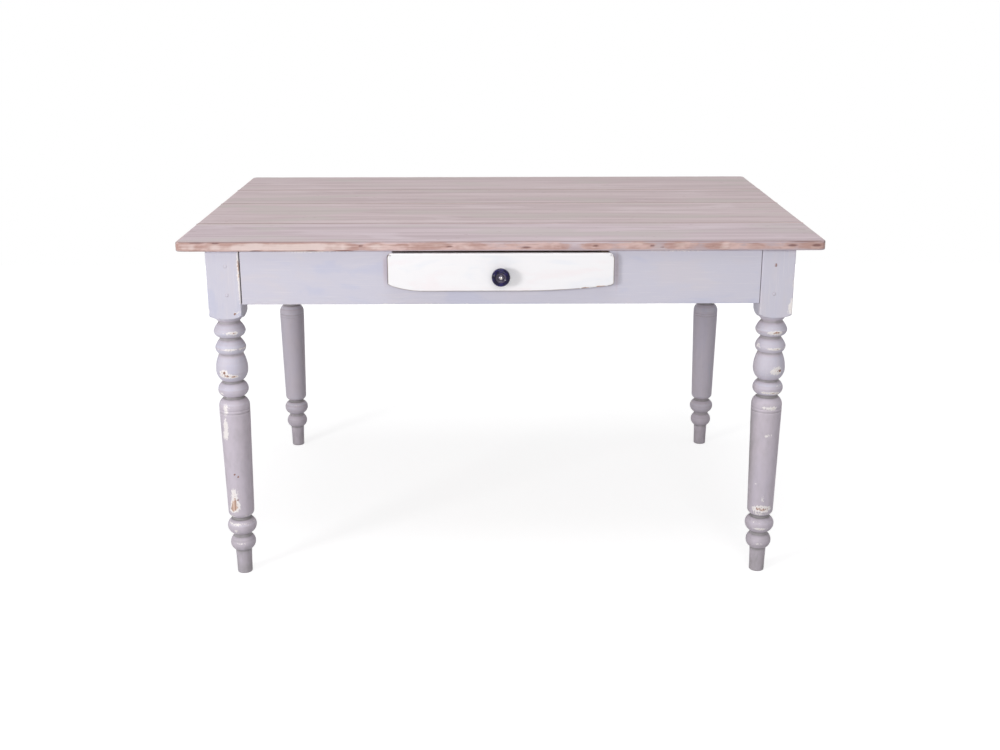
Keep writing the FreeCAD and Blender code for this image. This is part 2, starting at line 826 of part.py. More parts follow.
def guide_mortises():
    """The blind mortises that a pair of guides' stub tenons enter, seen from the front."""
    half = S.guide_tenon_thick / 2 + S.tenon_clear
    low = guide_bottom + S.guide_tenon_shoulder - S.tenon_clear
    high = guide_top - S.guide_tenon_shoulder + S.tenon_clear
    return [
        rectangle((guide_middle - half) * side, low, (guide_middle + half) * side, high)
        for side in (LEFT, RIGHT)
    ]


def runner_screw_lines():
    """How far back each runner screw stands: one near each end and one in the middle."""
    length = runner_length()
    return [-apron_inner_y + length * share for share in (0.1, 0.5, 0.9)]


def runner_length():
    """From the front apron to a little behind the closed drawer."""
    return drawer_end_y + S.runner_past_drawer + apron_inner_y


def make_guide(name, side):
    """A rail beside the drawer, from the front apron to the back one, tenoned into both."""
    body = new_body(name)
    near_face = half_opening * side
    far_face = (half_opening + S.guide_thick) * side
    face = rectangle(near_face, guide_bottom, far_face, guide_top)
    extrude(body, "rail", "XZ_Plane", [face], -apron_inner_y, apron_inner_y * 2)
    half = S.guide_tenon_thick / 2
    low = guide_bottom + S.guide_tenon_shoulder
    high = guide_top - S.guide_tenon_shoulder
    stub = rectangle((guide_middle - half) * side, low, (guide_middle + half) * side, high)
    extrude(body, "front_tenon", "XZ_Plane", [stub], -apron_inner_y - S.guide_tenon_length,
            S.guide_tenon_length)
    extrude(body, "back_tenon", "XZ_Plane", [stub], apron_inner_y, S.guide_tenon_length)
    rings = [Ring(y, runner_middle, S.screw_radius + S.screw_clear) for y in runner_screw_lines()]
    depth = S.runner_screw_bite + S.tenon_end_gap
    start = half_opening if side > 0 else -half_opening - depth
    extrude(body, "screw_pilots", "YZ_Plane", rings, start, depth, cut=True)
    finish_node(body, name)


def make_runner(name, side):
    """The strip that the drawer's side slides on, level with the sill of the opening."""
    body = new_body(name)
    inner = half_opening - S.runner_width
    face = rectangle(inner * side, sill - S.runner_height, half_opening * side, sill)
    extrude(body, "strip", "XZ_Plane", [face], -apron_inner_y, runner_length())
    rings = [Ring(y, runner_middle, S.screw_radius + S.screw_clear) for y in runner_screw_lines()]
    start = inner if side > 0 else -half_opening
    extrude(body, "screw_holes", "YZ_Plane", rings, start, S.runner_width, cut=True)
    finish_node(body, name)


def screw(name, length, x, y, z, axis):
    """A wood screw: its head lies on the given point and its shank runs along the direction."""
    shank = rod(f"{name}_shank", S.screw_radius, length, x, y, z, axis)
    head = doc.addObject("Part::Cone", f"{name}_head")
    head.setExpression("Radius1", S.screw_head_radius.text)
    head.setExpression("Radius2", S.screw_radius.text)
    head.setExpression("Height", S.screw_head_height.text)
    place(head, x, y, z, Rotation(Vector(0, 0, 1), axis * -1))
    whole = doc.addObject("Part::Fuse", name)
    whole.Base = shank
    whole.Tool = head
    return whole


def make_drawer_carriers():
    """Guides, runners and the screws that hold the runners to the guides."""
    screws = []
    for word, side in (("left", LEFT), ("right", RIGHT)):
        make_guide(f"drawer_guide_{word}", side)
        make_runner(f"drawer_runner_{word}", side)
        face = (half_opening - S.runner_width) * side
        length = S.runner_width + S.runner_screw_bite
        for y in runner_screw_lines():
            name = f"runner_screw_{len(screws)}"
            screws.append(screw(name, length, face, y, runner_middle, Vector(side, 0, 0)))
    group("runner_screws", screws)


# ---------------------------------------------------------------------------------------------
# What holds the top down
# ---------------------------------------------------------------------------------------------
def make_button(name, x, y, turn):
    """A wooden button: a block screwed to the top, with a tongue in the apron's groove."""
    body = new_body(name, x, y, ZERO, turn)
    low = top_underside - S.button_thick
    tongue_high = (groove_top + groove_bottom + S.button_tongue_thick) / 2
    tongue_low = tongue_high - S.button_tongue_thick
    section = [
        Corner(ZERO, low), Corner(S.button_reach, low), Corner(S.button_reach, top_underside),
        Corner(ZERO, top_underside), Corner(ZERO, tongue_high),
        Corner(-S.button_tongue_reach, tongue_high), Corner(-S.button_tongue_reach, tongue_low),
        Corner(ZERO, tongue_low),
    ]
    extrude(body, "block", "YZ_Plane", [section], -S.button_width / 2, S.button_width)
    ring = Ring(ZERO, S.button_reach / 2, S.screw_radius + S.screw_clear)
    extrude(body, "screw_hole", "XY_Plane", [ring], low, S.button_thick, cut=True)
    return body


def make_buttons():
    """Two buttons on each apron, so that each board of the top is held by two."""
    buttons = []
    screws = []
    low = top_underside - S.button_thick
    length = S.button_thick + S.button_screw_bite
    for number, (x, y, turn) in enumerate(button_places()):
        buttons.append(make_button(f"button_{number}", x, y, turn))
        spot_x, spot_y = screw_spot(x, y, turn)
        upward = Vector(0, 0, 1)
        screws.append(screw(f"button_screw_{number}", length, spot_x, spot_y, low, upward))
    group("tabletop_buttons", buttons)
    group("button_screws", screws)


# ---------------------------------------------------------------------------------------------
# The drawer
# ---------------------------------------------------------------------------------------------
def front_outline():
    """The drawer front: a lower edge that sweeps up at both ends, and rounded upper corners."""
    half = S.front_width / 2
    sweep_end = half - S.front_tip_length
    left_start = sweep_end - S.front_left_sweep_length
    right_start = sweep_end - S.front_right_sweep_length
    sweep_top = front_low + S.front_sweep_rise
    tip_top = sweep_top + S.front_tip_rise
    left_round, right_round = S.front_left_corner_round, S.front_right_corner_round
    return [
        Corner(-left_start, front_low),
        Corner(right_start, front_low, sweep_bend(S.front_right_sweep_length)),
        Corner(sweep_end, sweep_top),
        Corner(half, tip_top),
        Corner(half, front_top - right_round, right_round),
        Corner(half - right_round, front_top),
        Corner(left_round - half, front_top, left_round),
        Corner(-half, front_top - left_round),
        Corner(-half, tip_top),
        Corner(-sweep_end, sweep_top, sweep_bend(S.front_left_sweep_length)),
    ]


def sweep_bend(length):
    """The radius of a sweep that leaves the level lower edge and climbs by its rise."""
    rise = S.front_sweep_rise
    return (length * length + rise * rise) / (rise * 2)


def side_nail_levels():
    """Two nails above the bottom's groove, clear of the upper edge."""
    room = drawer_top - bottom_high
    return [bottom_high + room * share for share in (0.3, 0.75)]


def side_nail_lines():
    """Where the nails enter a side: into the front's block and into the back."""
    return (lip_back_y + S.front_block_thick / 2, drawer_back_front_y + S.drawer_back_thick / 2)


def bottom_nail_spots():
    """The nails that go up through the bottom into the back."""
    return [(drawer_inner_half * share, side_nail_lines()[1]) for share in (-0.7, 0, 0.7)]


nail_hole = S.nail_radius + S.nail_clear


def make_drawer_front():
    """The lipped front: a plate over the opening and a block that fits between the sides."""
    body = new_body("drawer_front")
    extrude(body, "plate", "XZ_Plane", [front_outline()], front_face_y, S.front_thick)
    face_y = front_face_y.value
    bevel(body, "arris", S.front_arris,
          lambda edge: near(edge.BoundBox.YMin, face_y) and near(edge.BoundBox.YMax, face_y))
    block_low = drawer_floor + S.front_block_rise
    block = rectangle(-drawer_inner_half, block_low, drawer_inner_half, drawer_top)
    extrude(body, "block", "XZ_Plane", [block], lip_back_y, S.front_block_thick)
    groove_low = bottom_low - S.bottom_clear
    groove_high = bottom_high + S.bottom_clear
    groove = rectangle(-drawer_inner_half, groove_low, drawer_inner_half, groove_high)
    extrude(body, "bottom_groove", "XZ_Plane", [groove],
            front_block_back_y - S.bottom_groove_depth, S.bottom_groove_depth, cut=True)
    bore = Ring(ZERO, knob_level, S.bolt_radius + S.bolt_clear)
    thickness = S.front_thick + S.front_block_thick
    extrude(body, "knob_bore", "XZ_Plane", [bore], front_face_y, thickness, cut=True)
    front_line = side_nail_lines()[0]
    rings = [Ring(front_line, level, nail_hole) for level in side_nail_levels()]
    bite = S.nail_length - S.drawer_side_thick + S.nail_clear
    for word, start in (("left", -drawer_inner_half), ("right", drawer_inner_half - bite)):
        extrude(body, f"nail_pilots_{word}", "YZ_Plane", rings, start, bite, cut=True)
    finish_node(body, "drawer_front")


def make_drawer_side(name, side):
    """A drawer side: grooved for the bottom, housed for the back."""
    body = new_body(name)
    start = drawer_inner_half if side > 0 else -drawer_half_width
    board = rectangle(lip_back_y, drawer_floor, drawer_end_y, drawer_top)
    extrude(body, "board", "YZ_Plane", [board], start, S.drawer_side_thick)
    groove = rectangle(lip_back_y, bottom_low - S.bottom_clear, drawer_end_y, bottom_high + S.bottom_clear)
    groove_start = drawer_inner_half if side > 0 else -drawer_inner_half - S.bottom_groove_depth
    extrude(body, "bottom_groove", "YZ_Plane", [groove], groove_start, S.bottom_groove_depth, cut=True)
    housing = rectangle(drawer_back_front_y - S.bottom_clear, bottom_high,
                        drawer_back_rear_y + S.bottom_clear, drawer_top)
    housing_start = drawer_inner_half if side > 0 else -drawer_inner_half - S.dado_depth
    extrude(body, "back_housing", "YZ_Plane", [housing], housing_start, S.dado_depth, cut=True)
    rings = [
        Ring(line, level, nail_hole)
        for line in side_nail_lines()
        for level in side_nail_levels()
    ]
    extrude(body, "nail_holes", "YZ_Plane", rings, start, S.drawer_side_thick, cut=True)
    finish_node(body, name)


def make_drawer_back():
    """The drawer's back stands on the bottom, a little lower than the sides."""
    body = new_body("drawer_back")
    half = drawer_inner_half + S.dado_depth - S.bottom_clear
    face = rectangle(-half, bottom_high, half, drawer_top - S.drawer_back_drop)
    extrude(body, "board", "XZ_Plane", [face], drawer_back_front_y, S.drawer_back_thick)
    middle = side_nail_lines()[1]
    rings = [Ring(middle, level, nail_hole) for level in side_nail_levels()]
    bite = S.nail_length - S.drawer_side_thick + S.dado_depth
    for word, start in (("left", -half), ("right", half - bite)):
        extrude(body, f"nail_pilots_{word}", "YZ_Plane", rings, start, bite, cut=True)
    rings = [Ring(x, y, nail_hole) for x, y in bottom_nail_spots()]
    extrude(body, "bottom_nail_pilots", "XY_Plane", rings, bottom_high,
            S.nail_length - S.bottom_thick + S.nail_clear, cut=True)
    finish_node(body, "drawer_back")


def make_drawer_bottom():
    """The thin bottom: in grooves on three sides, nailed up into the back."""
    body = new_body("drawer_bottom")
    half = drawer_inner_half + S.bottom_groove_depth - S.bottom_clear
    start_y = front_block_back_y - S.bottom_groove_depth + S.bottom_clear
    panel = rectangle(-half, start_y, half, drawer_back_rear_y)
    extrude(body, "panel", "XY_Plane", [panel], bottom_low, S.bottom_thick)
    rings = [Ring(x, y, nail_hole) for x, y in bottom_nail_spots()]
    extrude(body, "nail_holes", "XY_Plane", rings, bottom_low, S.bottom_thick, cut=True)
    finish_node(body, "drawer_bottom")


def make_drawer_nails():
    """Nails through the sides into the front and back, and up through the bottom."""
    nails = []
    for side in (LEFT, RIGHT):
        for line in side_nail_lines():
            for level in side_nail_levels():
                nails.append(rod(f"nail_{len(nails)}", S.nail_radius, S.nail_length,
                                 drawer_half_width * side, line, level, Vector(-side, 0, 0)))
    for x, y in bottom_nail_spots():
        nails.append(rod(f"nail_{len(nails)}", S.nail_radius, S.nail_length,
                         as_size(x), y, bottom_low, Vector(0, 0, 1)))
    group("drawer_nails", nails)


def make_drawer():
    """The drawer's box."""
    make_drawer_front()
    make_drawer_side("drawer_side_left", LEFT)
    make_drawer_side("drawer_side_right", RIGHT)
    make_drawer_back()
    make_drawer_bottom()
    make_drawer_nails()


# ---------------------------------------------------------------------------------------------
# The knob. Its bodies stand on the drawer's face, and their y runs out to the front as minus.
# ---------------------------------------------------------------------------------------------
def on_face(name):
    """A body whose origin is where the knob's axis meets the drawer's face."""
    return new_body(name, ZERO, front_face_y, knob_level)


def make_knob():
    """Collar, glazed knob and the capped bolt that holds both, with its washer and nut."""
    bore = S.bolt_radius + S.bolt_clear

    collar = on_face("knob_collar")
    ring = rectangle(-S.collar_thick, bore, ZERO, S.collar_radius)
    revolve(collar, "turned_ring", "YZ_Plane", [ring], "H_Axis")
    finish_node(collar, "knob_collar")

    knob = on_face("knob_body")
    foot = -S.collar_thick
    waist = foot - S.knob_foot_length
    flare = waist - S.knob_flare_length
    rim = flare - S.knob_rim_length
    crown = rim - S.knob_crown_length
    dish = crown + S.knob_dish_depth
    seat = dish + S.knob_seat_depth
    cap_room = S.bolt_head_radius + S.bolt_clear
    profile = [
        Corner(foot, bore),
        Corner(foot, S.knob_foot_radius),
        Corner(waist, S.knob_waist_radius, flare_bend()),
        Corner(flare, S.knob_radius),
        Corner(rim, S.knob_radius, swell(S.knob_radius, S.knob_lip_radius, S.knob_crown_length)),
        Corner(crown, S.knob_lip_radius),
        Corner(dish, cap_room),
        Corner(seat, cap_room),
        Corner(seat, bore),
    ]
    revolve(knob, "turned_knob", "YZ_Plane", [profile], "H_Axis")
    finish_node(knob, "knob_body")

    bolt = on_face("knob_bolt")
    under_cap = -cap_seat
    tip = under_cap - S.bolt_head_height
    stack = S.front_thick + S.front_block_thick + S.washer_thick + S.nut_thick + S.bolt_tail
    cap_rise = S.bolt_head_height
    cap_bend = (cap_rise * cap_rise + S.bolt_head_radius * S.bolt_head_radius) / (cap_rise * 2)
    profile = [
        Corner(tip, ZERO), Corner(stack, ZERO), Corner(stack, S.bolt_radius),
        Corner(under_cap, S.bolt_radius),
        Corner(under_cap, S.bolt_head_radius, cap_bend, clockwise=False),
    ]
    revolve(bolt, "turned_bolt", "YZ_Plane", [profile], "H_Axis")
    finish_node(bolt, "knob_bolt")

    washer = on_face("knob_washer")
    seat = S.front_thick + S.front_block_thick
    ring = rectangle(seat, bore, seat + S.washer_thick, S.washer_radius)
    revolve(washer, "turned_washer", "YZ_Plane", [ring], "H_Axis")
    finish_node(washer, "knob_washer")

    make_nut(seat + S.washer_thick)


def flare_bend():
    """The arc that leads from the knob's waist out to its rim."""
    run, rise = S.knob_flare_length, S.knob_radius - S.knob_waist_radius
    return (run * run + rise * rise) / (run * 2)


def make_nut(seat):
    """A hexagon nut against the washer, inside the drawer."""
    backward = Rotation(Vector(0, 0, 1), Vector(0, 1, 0))
    prism = doc.addObject("Part::Prism", "nut_hexagon")
    prism.Polygon = 6
    prism.setExpression("Circumradius", S.nut_radius.text)
    prism.setExpression("Height", S.nut_thick.text)
    place(prism, ZERO, front_face_y + seat, knob_level, backward)
    thread = rod("nut_thread", S.bolt_radius + S.thread_clear, S.nut_thick,
                 ZERO, front_face_y + seat, knob_level, Vector(0, 1, 0))
    nut = doc.addObject("Part::Cut", "knob_nut")
    nut.Base = prism
    nut.Tool = thread
    finish_node(nut, "knob_nut")


# ---------------------------------------------------------------------------------------------
# Build, check and write
# ---------------------------------------------------------------------------------------------
def check_document():
    """Stop if any object failed or any sub-part has no sound shape."""
    doc.recompute()
    for thing in doc.Objects:
        if "Invalid" in thing.State or "Error" in thing.State:
            raise RuntimeError(f"{thing.Name} failed: {thing.State}")
    for thing in NODES:
        if thing.Shape.isNull() or not thing.Shape.isValid():
            raise RuntimeError(f"{thing.Label} has no valid shape")


def write_parts():
    """Write each sub-part to its own file."""
    os.makedirs("parts", exist_ok=True)
    for thing in NODES:
        thing.Shape.exportStep(f"parts/{thing.Label}.step")


make_top()
make_legs()
make_aprons()
make_pegs()
make_drawer_carriers()
make_buttons()
make_drawer()
make_knob()
check_document()
write_parts()
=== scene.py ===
"""The worn shapes and finishes of a painted farmhouse table, dressed round its fixed frame.

Places are metres in the table's own frame: +X is its length, +Z is up, the drawer faces -Y.
Sizes that a maker would quote in millimetres are written in millimetres and scaled by MM.
"""
import logging
import math
from dataclasses import astuple, dataclass, field, replace
from enum import Enum
from typing import ClassVar, NamedTuple, Sequence

import bpy
import numpy as np
from mathutils import Matrix, Vector, noise


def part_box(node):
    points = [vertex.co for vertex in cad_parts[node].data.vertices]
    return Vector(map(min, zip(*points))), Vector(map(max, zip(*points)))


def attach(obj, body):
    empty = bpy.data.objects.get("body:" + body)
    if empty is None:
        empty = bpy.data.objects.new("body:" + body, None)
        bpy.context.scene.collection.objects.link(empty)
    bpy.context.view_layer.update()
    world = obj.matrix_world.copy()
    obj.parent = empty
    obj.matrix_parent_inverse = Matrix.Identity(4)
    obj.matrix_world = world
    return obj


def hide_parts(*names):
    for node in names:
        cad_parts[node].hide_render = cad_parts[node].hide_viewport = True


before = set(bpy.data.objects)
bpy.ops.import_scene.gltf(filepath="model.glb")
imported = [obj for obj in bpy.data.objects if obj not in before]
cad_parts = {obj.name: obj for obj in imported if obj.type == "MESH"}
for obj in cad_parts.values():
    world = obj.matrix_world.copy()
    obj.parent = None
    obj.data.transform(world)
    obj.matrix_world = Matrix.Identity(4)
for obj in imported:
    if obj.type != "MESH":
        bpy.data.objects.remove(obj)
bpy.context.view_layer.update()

MM = 0.001
Points = np.ndarray
log = logging.getLogger("kitchen_table")


def linear(hex_colour: str) -> tuple[float, float, float, float]:
    """Turn an sRGB hex colour into linear RGBA.

    Args:
        hex_colour: A '#' and six hex digits.

    Returns:
        Linear red, green and blue, and an alpha of 1.
    """
    channels = [int(hex_colour[start:start + 2], 16) / 255 for start in (1, 3, 5)]
    bright = [c / 12.92 if c <= 0.04045 else ((c + 0.055) / 1.055) ** 2.4 for c in channels]
    return (*bright, 1.0)


# ---------------------------------- Finishes ----------------------------------
Socket = bpy.types.NodeSocket
NOISE, MATH, RANGE = "ShaderNodeTexNoise", "ShaderNodeMath", "ShaderNodeMapRange"
MIX, BUMP, MARK = "ShaderNodeMix", "ShaderNodeBump", "ShaderNodeAttribute"
VECTOR, SHADER = "ShaderNodeVectorMath", "ShaderNodeBsdfPrincipled"
PLACE, RAYS = "ShaderNodeTexCoord", "ShaderNodeLightPath"
COLOUR_A, COLOUR_B, MIXED_COLOUR = 6, 7, 2  # the Mix node's colour sockets
# The third mark darkens with grime and dirt, and on some pieces it is painted shade.
MARKS = ("wear", "knot", "grime_and_shade")  # the values that each piece's points carry


class Grain(Enum):
    """Which way a member's fibres and brush marks run."""

    X = 0
    Y = 1
    Z = 2


@dataclass(frozen=True)
class Pattern:
    """Lumps drawn out along the grain.

    across and along are their width and length in millimetres, layers is how many finer layers
    lie in them, and wandering is how far they stray.
    """

    across: float
    along: float
    layers: float
    wandering: float = 0.0


class Coat(NamedTuple):
    """A colour laid where a pattern rises from low to high. most is how far it covers there."""

    pattern: Socket
    low: float
    high: float
    colour: Socket | str
    most: float = 1.0


@dataclass
class Recipe:
    """The node tree of one material or of the world."""

    tree: bpy.types.NodeTree
    finer_share: float = 0.58  # how strong each finer layer of a pattern is beside the one above it

    def add(self, kind: str, inputs: dict, output: int | str | None = 0,
            **settings: object) -> Socket:
        """Add a node with its settings and links.

        Args:
            kind: The node's type name.
            inputs: Sockets, hex colours or plain values, by the input's name or number.
            output: The name or number of the output to give back, or None for an end node.
            **settings: The node's own properties.

        Returns:
            The chosen output.
        """
        node = self.tree.nodes.new(kind)
        for name, value in settings.items():
            setattr(node, name, value)
        for name, value in inputs.items():
            if isinstance(value, Socket):
                self.tree.links.new(value, node.inputs[name])
            else:
                plain = linear(value) if isinstance(value, str) else value
                node.inputs[name].default_value = plain
        return None if output is None else node.outputs[output]

    def drawn_out(self, grain: Grain, *patterns: Pattern) -> list[Socket]:
        """Draw patterns out along the grain.

        Args:
            grain: Which way they run.
            *patterns: What their lumps are like.

        Returns:
            Each pattern, from 0 to 1.
        """
        place = self.add(PLACE, {}, "Object")
        shift = self.add(MARK, {}, "Vector", attribute_name="piece_shift")
        moved = self.add(VECTOR, {0: place, 1: shift}, operation="ADD")
        drawn = []
        for pattern in patterns:
            scale = [1 / (pattern.across * MM)] * 3
            scale[grain.value] = 1 / (pattern.along * MM)
            scaled = self.add(VECTOR, {0: moved, 1: scale}, operation="MULTIPLY")
            settings = {"Vector": scaled, "Scale": 1.0, "Detail": pattern.layers,
                        "Roughness": self.finer_share, "Distortion": pattern.wandering}
            drawn.append(self.add(NOISE, settings))
        return drawn

    def ragged(self, mark: Socket, *patterns: tuple[Socket, float]) -> Socket:
        """Roughen a mark, so that it breaks up at its edge.

        Args:
            mark: How strong the mark is.
            *patterns: What breaks it up, each with the share of it that is added.

        Returns:
            The mark with its patterns.
        """
        for pattern, share in patterns:
            mark = self.add(MATH, {0: pattern, 1: share, 2: mark}, operation="MULTIPLY_ADD")
        return mark

    def lay(self, colour: Socket | str, *coats: Coat) -> Socket:
        """Lay coats over a colour.

        Args:
            colour: What lies under them.
            *coats: What is laid, from the lowest up.

        Returns:
            The mixed colour.
        """
        for coat in coats:
            limits = {"Value": coat.pattern, "From Min": coat.low, "From Max": coat.high,
                      "To Max": coat.most}
            share = self.add(RANGE, limits, interpolation_type="SMOOTHSTEP")
            colour = self.add(MIX, {0: share, COLOUR_A: colour, COLOUR_B: coat.colour},
                              MIXED_COLOUR, data_type="RGBA")
        return colour

    def surface(self, colour: Socket, more: dict, *reliefs: tuple[Socket, float]) -> Socket:
        """Make a surface of a colour.

        Args:
            colour: The colour.
            more: The shader's other inputs, by name.
            *reliefs: What raises it, each with its height in metres, from the lowest up.

        Returns:
            The shader.
        """
        raised: dict[str, Socket] = {}
        for pattern, height in reliefs:
            raised = {"Normal": self.add(BUMP, {"Height": pattern, "Distance": height, **raised})}
        return self.add(SHADER, {"Base Color": colour, **more, **raised})

    def seen_share(self) -> Socket:
        """Tell what is seen from what lights the table.

        Returns:
            1 for what the camera sees, directly or in a gloss, and 0 for light on the table.
        """
        share = self.add(RAYS, {}, "Is Camera Ray")
        for ray in ("Is Glossy Ray", "Is Transmission Ray"):
            share = self.add(MATH, {0: share, 1: self.add(RAYS, {}, ray)}, operation="MAXIMUM")
        return share


@dataclass(frozen=True)
class Finish:
    """A surface finish. Each kind writes its own nodes, and each name is built once."""

    name: str
    built: ClassVar[dict[str, bpy.types.Material]] = {}

    def write(self, recipe: Recipe) -> Socket:
        """Write the finish's nodes and give the shader's output."""
        raise NotImplementedError

    def material(self) -> bpy.types.Material:
        """Build the finish's material, or find it where it is built already.

        Returns:
            The Blender material.
        """
        if self.name not in self.built:
            material = bpy.data.materials.new(self.name)
            material.use_nodes = True
            material.node_tree.nodes.clear()
            recipe = Recipe(material.node_tree)
            recipe.add("ShaderNodeOutputMaterial", {"Surface": self.write(recipe)}, None)
            self.built[self.name] = material
        return self.built[self.name]


@dataclass(frozen=True)
class LimedPine(Finish):
    """Pine boards rubbed with white liming wax, which greys the wood and stays in its pores.

    The eye sees long soft streaks along the boards, a few greyer water marks, warm bare wood
    with brown splits on the edges, dirt in the seams and a painted shadow under the front edge.
    The sheen is low.
    """

    body: str = "#C7B6BC"
    pale: str = "#D2C4CB"
    dusk: str = "#B3A0A6"
    water_mark: str = "#BAB2AF"
    bare_pale: str = "#D1B3AE"
    bare_tan: str = "#B28E86"
    scrubbed: str = "#E4D3CF"
    split_brown: str = "#8A6459"
    knot_brown: str = "#74504C"
    # Dirt in the seams, and painted shadow under the front edge.
    dirt: str = "#8A7676"
    figure: Pattern = Pattern(26, 700, 4, 0.5)
    streaks: Pattern = Pattern(5, 300, 3, 0.2)
    fibres: Pattern = Pattern(1.6, 70, 2)  # real pores are finer: drawn so that they show
    stains: Pattern = Pattern(80, 300, 3, 0.6)
    flecks: Pattern = Pattern(9, 24, 1)
    patches: Pattern = Pattern(30, 70, 3, 0.4)
    splits: Pattern = Pattern(2.2, 50, 2)
    figure_relief: float = 0.3 * MM
    streak_relief: float = 0.2 * MM
    smooth: float = 0.48
    coarse: float = 0.64
    ior: float = 1.48

    def write(self, recipe: Recipe) -> Socket:
        """Streaks and figure on the faces, bare wood on the edges, dark knots and seams, painted
        shade.

        Args:
            recipe: The tree to write in.

        Returns:
            The shader.
        """
        figure, streaks, fibres, stains, flecks, patches, splits = recipe.drawn_out(
            Grain.X, self.figure, self.streaks, self.fibres, self.stains, self.flecks,
            self.patches, self.splits)
        wear, knots, grime_and_shade = (recipe.add(MARK, {}, "Fac", attribute_name=mark) for mark in MARKS)
        rubbed = recipe.ragged(wear, (streaks, 0.5), (fibres, 0.3))
        limed = recipe.lay(
            self.dusk, Coat(figure, 0.36, 0.6, self.body), Coat(streaks, 0.5, 0.74, self.pale, 0.6),
            Coat(streaks, 0.46, 0.28, self.dusk, 0.3), Coat(fibres, 0.55, 0.75, self.pale, 0.35),
            Coat(stains, 0.5, 0.64, self.water_mark, 0.55), Coat(stains, 0.46, 0.3, self.pale, 0.5),
            Coat(flecks, 0.71, 0.8, self.knot_brown, 0.4))
        bare = recipe.lay(
            self.bare_tan, Coat(patches, 0.44, 0.64, self.bare_pale),
            Coat(fibres, 0.45, 0.7, self.bare_pale, 0.4),
            Coat(splits, 0.6, 0.74, self.split_brown, 0.6),
            Coat(rubbed, 1.15, 1.55, self.scrubbed, 0.75))
        colour = recipe.lay(
            limed, Coat(rubbed, 0.75, 1.05, bare),
            Coat(recipe.ragged(knots, (fibres, 0.5)), 0.5, 0.95, self.knot_brown, 0.85),
            Coat(recipe.ragged(grime_and_shade, (streaks, 0.6)), 0.6, 1.1, self.dirt, 0.9))
        sheen = {"Value": streaks, "To Min": self.smooth, "To Max": self.coarse}
        roughness = recipe.add(RANGE, sheen)
        return recipe.surface(colour, {"Roughness": roughness, "IOR": self.ior},
                              (figure, self.figure_relief), (streaks, self.streak_relief))


@dataclass(frozen=True)
class BrushedPaint(Finish):
    """Eggshell oil paint brushed over a white undercoat on pine, rubbed through by use.

    The eye sees faint brush marks along each member, white undercoat along the arrises and
    beads, small places of bare wood inside the white, and dark dirt in the joints. Its grime
    and dirt coats also lay painted shade round the drawer's lip and down one leg.
    """

    grain: Grain
    coat: str
    cool: str
    warm: str
    undercoat: str = "#EFE9E8"
    bare_pale: str = "#DDBFAE"
    bare_dark: str = "#8A6355"
    handled: str = "#C5B8C3"
    # Grime and dirt colours, which also paint shade where a piece's marks carry it.
    grime: str = "#8C8988"
    dirt: str = "#3E3236"
    tint: Pattern = Pattern(50, 140, 3, 0.4)
    brush: Pattern = Pattern(2.4, 90, 3)  # real bristles are finer: drawn so that their marks show
    speck: Pattern = Pattern(2.4, 5, 4)
    blotch: Pattern = Pattern(12, 24, 3, 0.3)
    rubbed_from: float = 1.26
    rubbed_through: float = 1.42
    coat_relief: float = 0.1 * MM
    brush_relief: float = 0.16 * MM
    smooth: float = 0.5
    coarse: float = 0.68
    ior: float = 1.5

    def write(self, recipe: Recipe) -> Socket:
        """Two tints of the coat, brush marks, grime and painted shade, then undercoat and wood
        where it is rubbed.

        Args:
            recipe: The tree to write in.

        Returns:
            The shader.
        """
        tint, brush, speck, blotch = recipe.drawn_out(
            self.grain, self.tint, self.brush, self.speck, self.blotch)
        wear, knots, grime_and_shade = (recipe.add(MARK, {}, "Fac", attribute_name=mark) for mark in MARKS)
        rubbed = recipe.ragged(wear, (speck, 1.1), (blotch, 0.6))
        soiled_and_shaded = recipe.ragged(grime_and_shade, (blotch, 0.5))
        holes = recipe.ragged(knots, (speck, 0.3))
        wood = recipe.lay(self.bare_dark, Coat(brush, 0.4, 0.6, self.bare_pale))
        colour = recipe.lay(
            self.coat, Coat(tint, 0.48, 0.34, self.cool), Coat(tint, 0.52, 0.68, self.warm),
            Coat(brush, 0.52, 0.75, self.undercoat, 0.2),
            Coat(grime_and_shade, 0.05, 0.35, self.handled, 0.7), Coat(soiled_and_shaded, 0.45, 1.3, self.grime, 0.85),
            Coat(rubbed, self.rubbed_from, self.rubbed_through, self.undercoat),
            Coat(rubbed, 1.62, 1.78, wood), Coat(holes, 0.55, 0.75, self.bare_dark),
            Coat(soiled_and_shaded, 1.4, 2.0, self.dirt))
        roughness = recipe.add(RANGE, {"Value": blotch, "From Min": 0.3, "From Max": 0.7,
                                       "To Min": self.smooth, "To Max": self.coarse})
        film = recipe.add(RANGE, {"Value": rubbed, "From Min": self.rubbed_from,
                                  "From Max": self.rubbed_through, "To Min": 1.0, "To Max": 0.0})
        return recipe.surface(colour, {"Roughness": roughness, "IOR": self.ior},
                              (film, self.coat_relief), (brush, self.brush_relief))


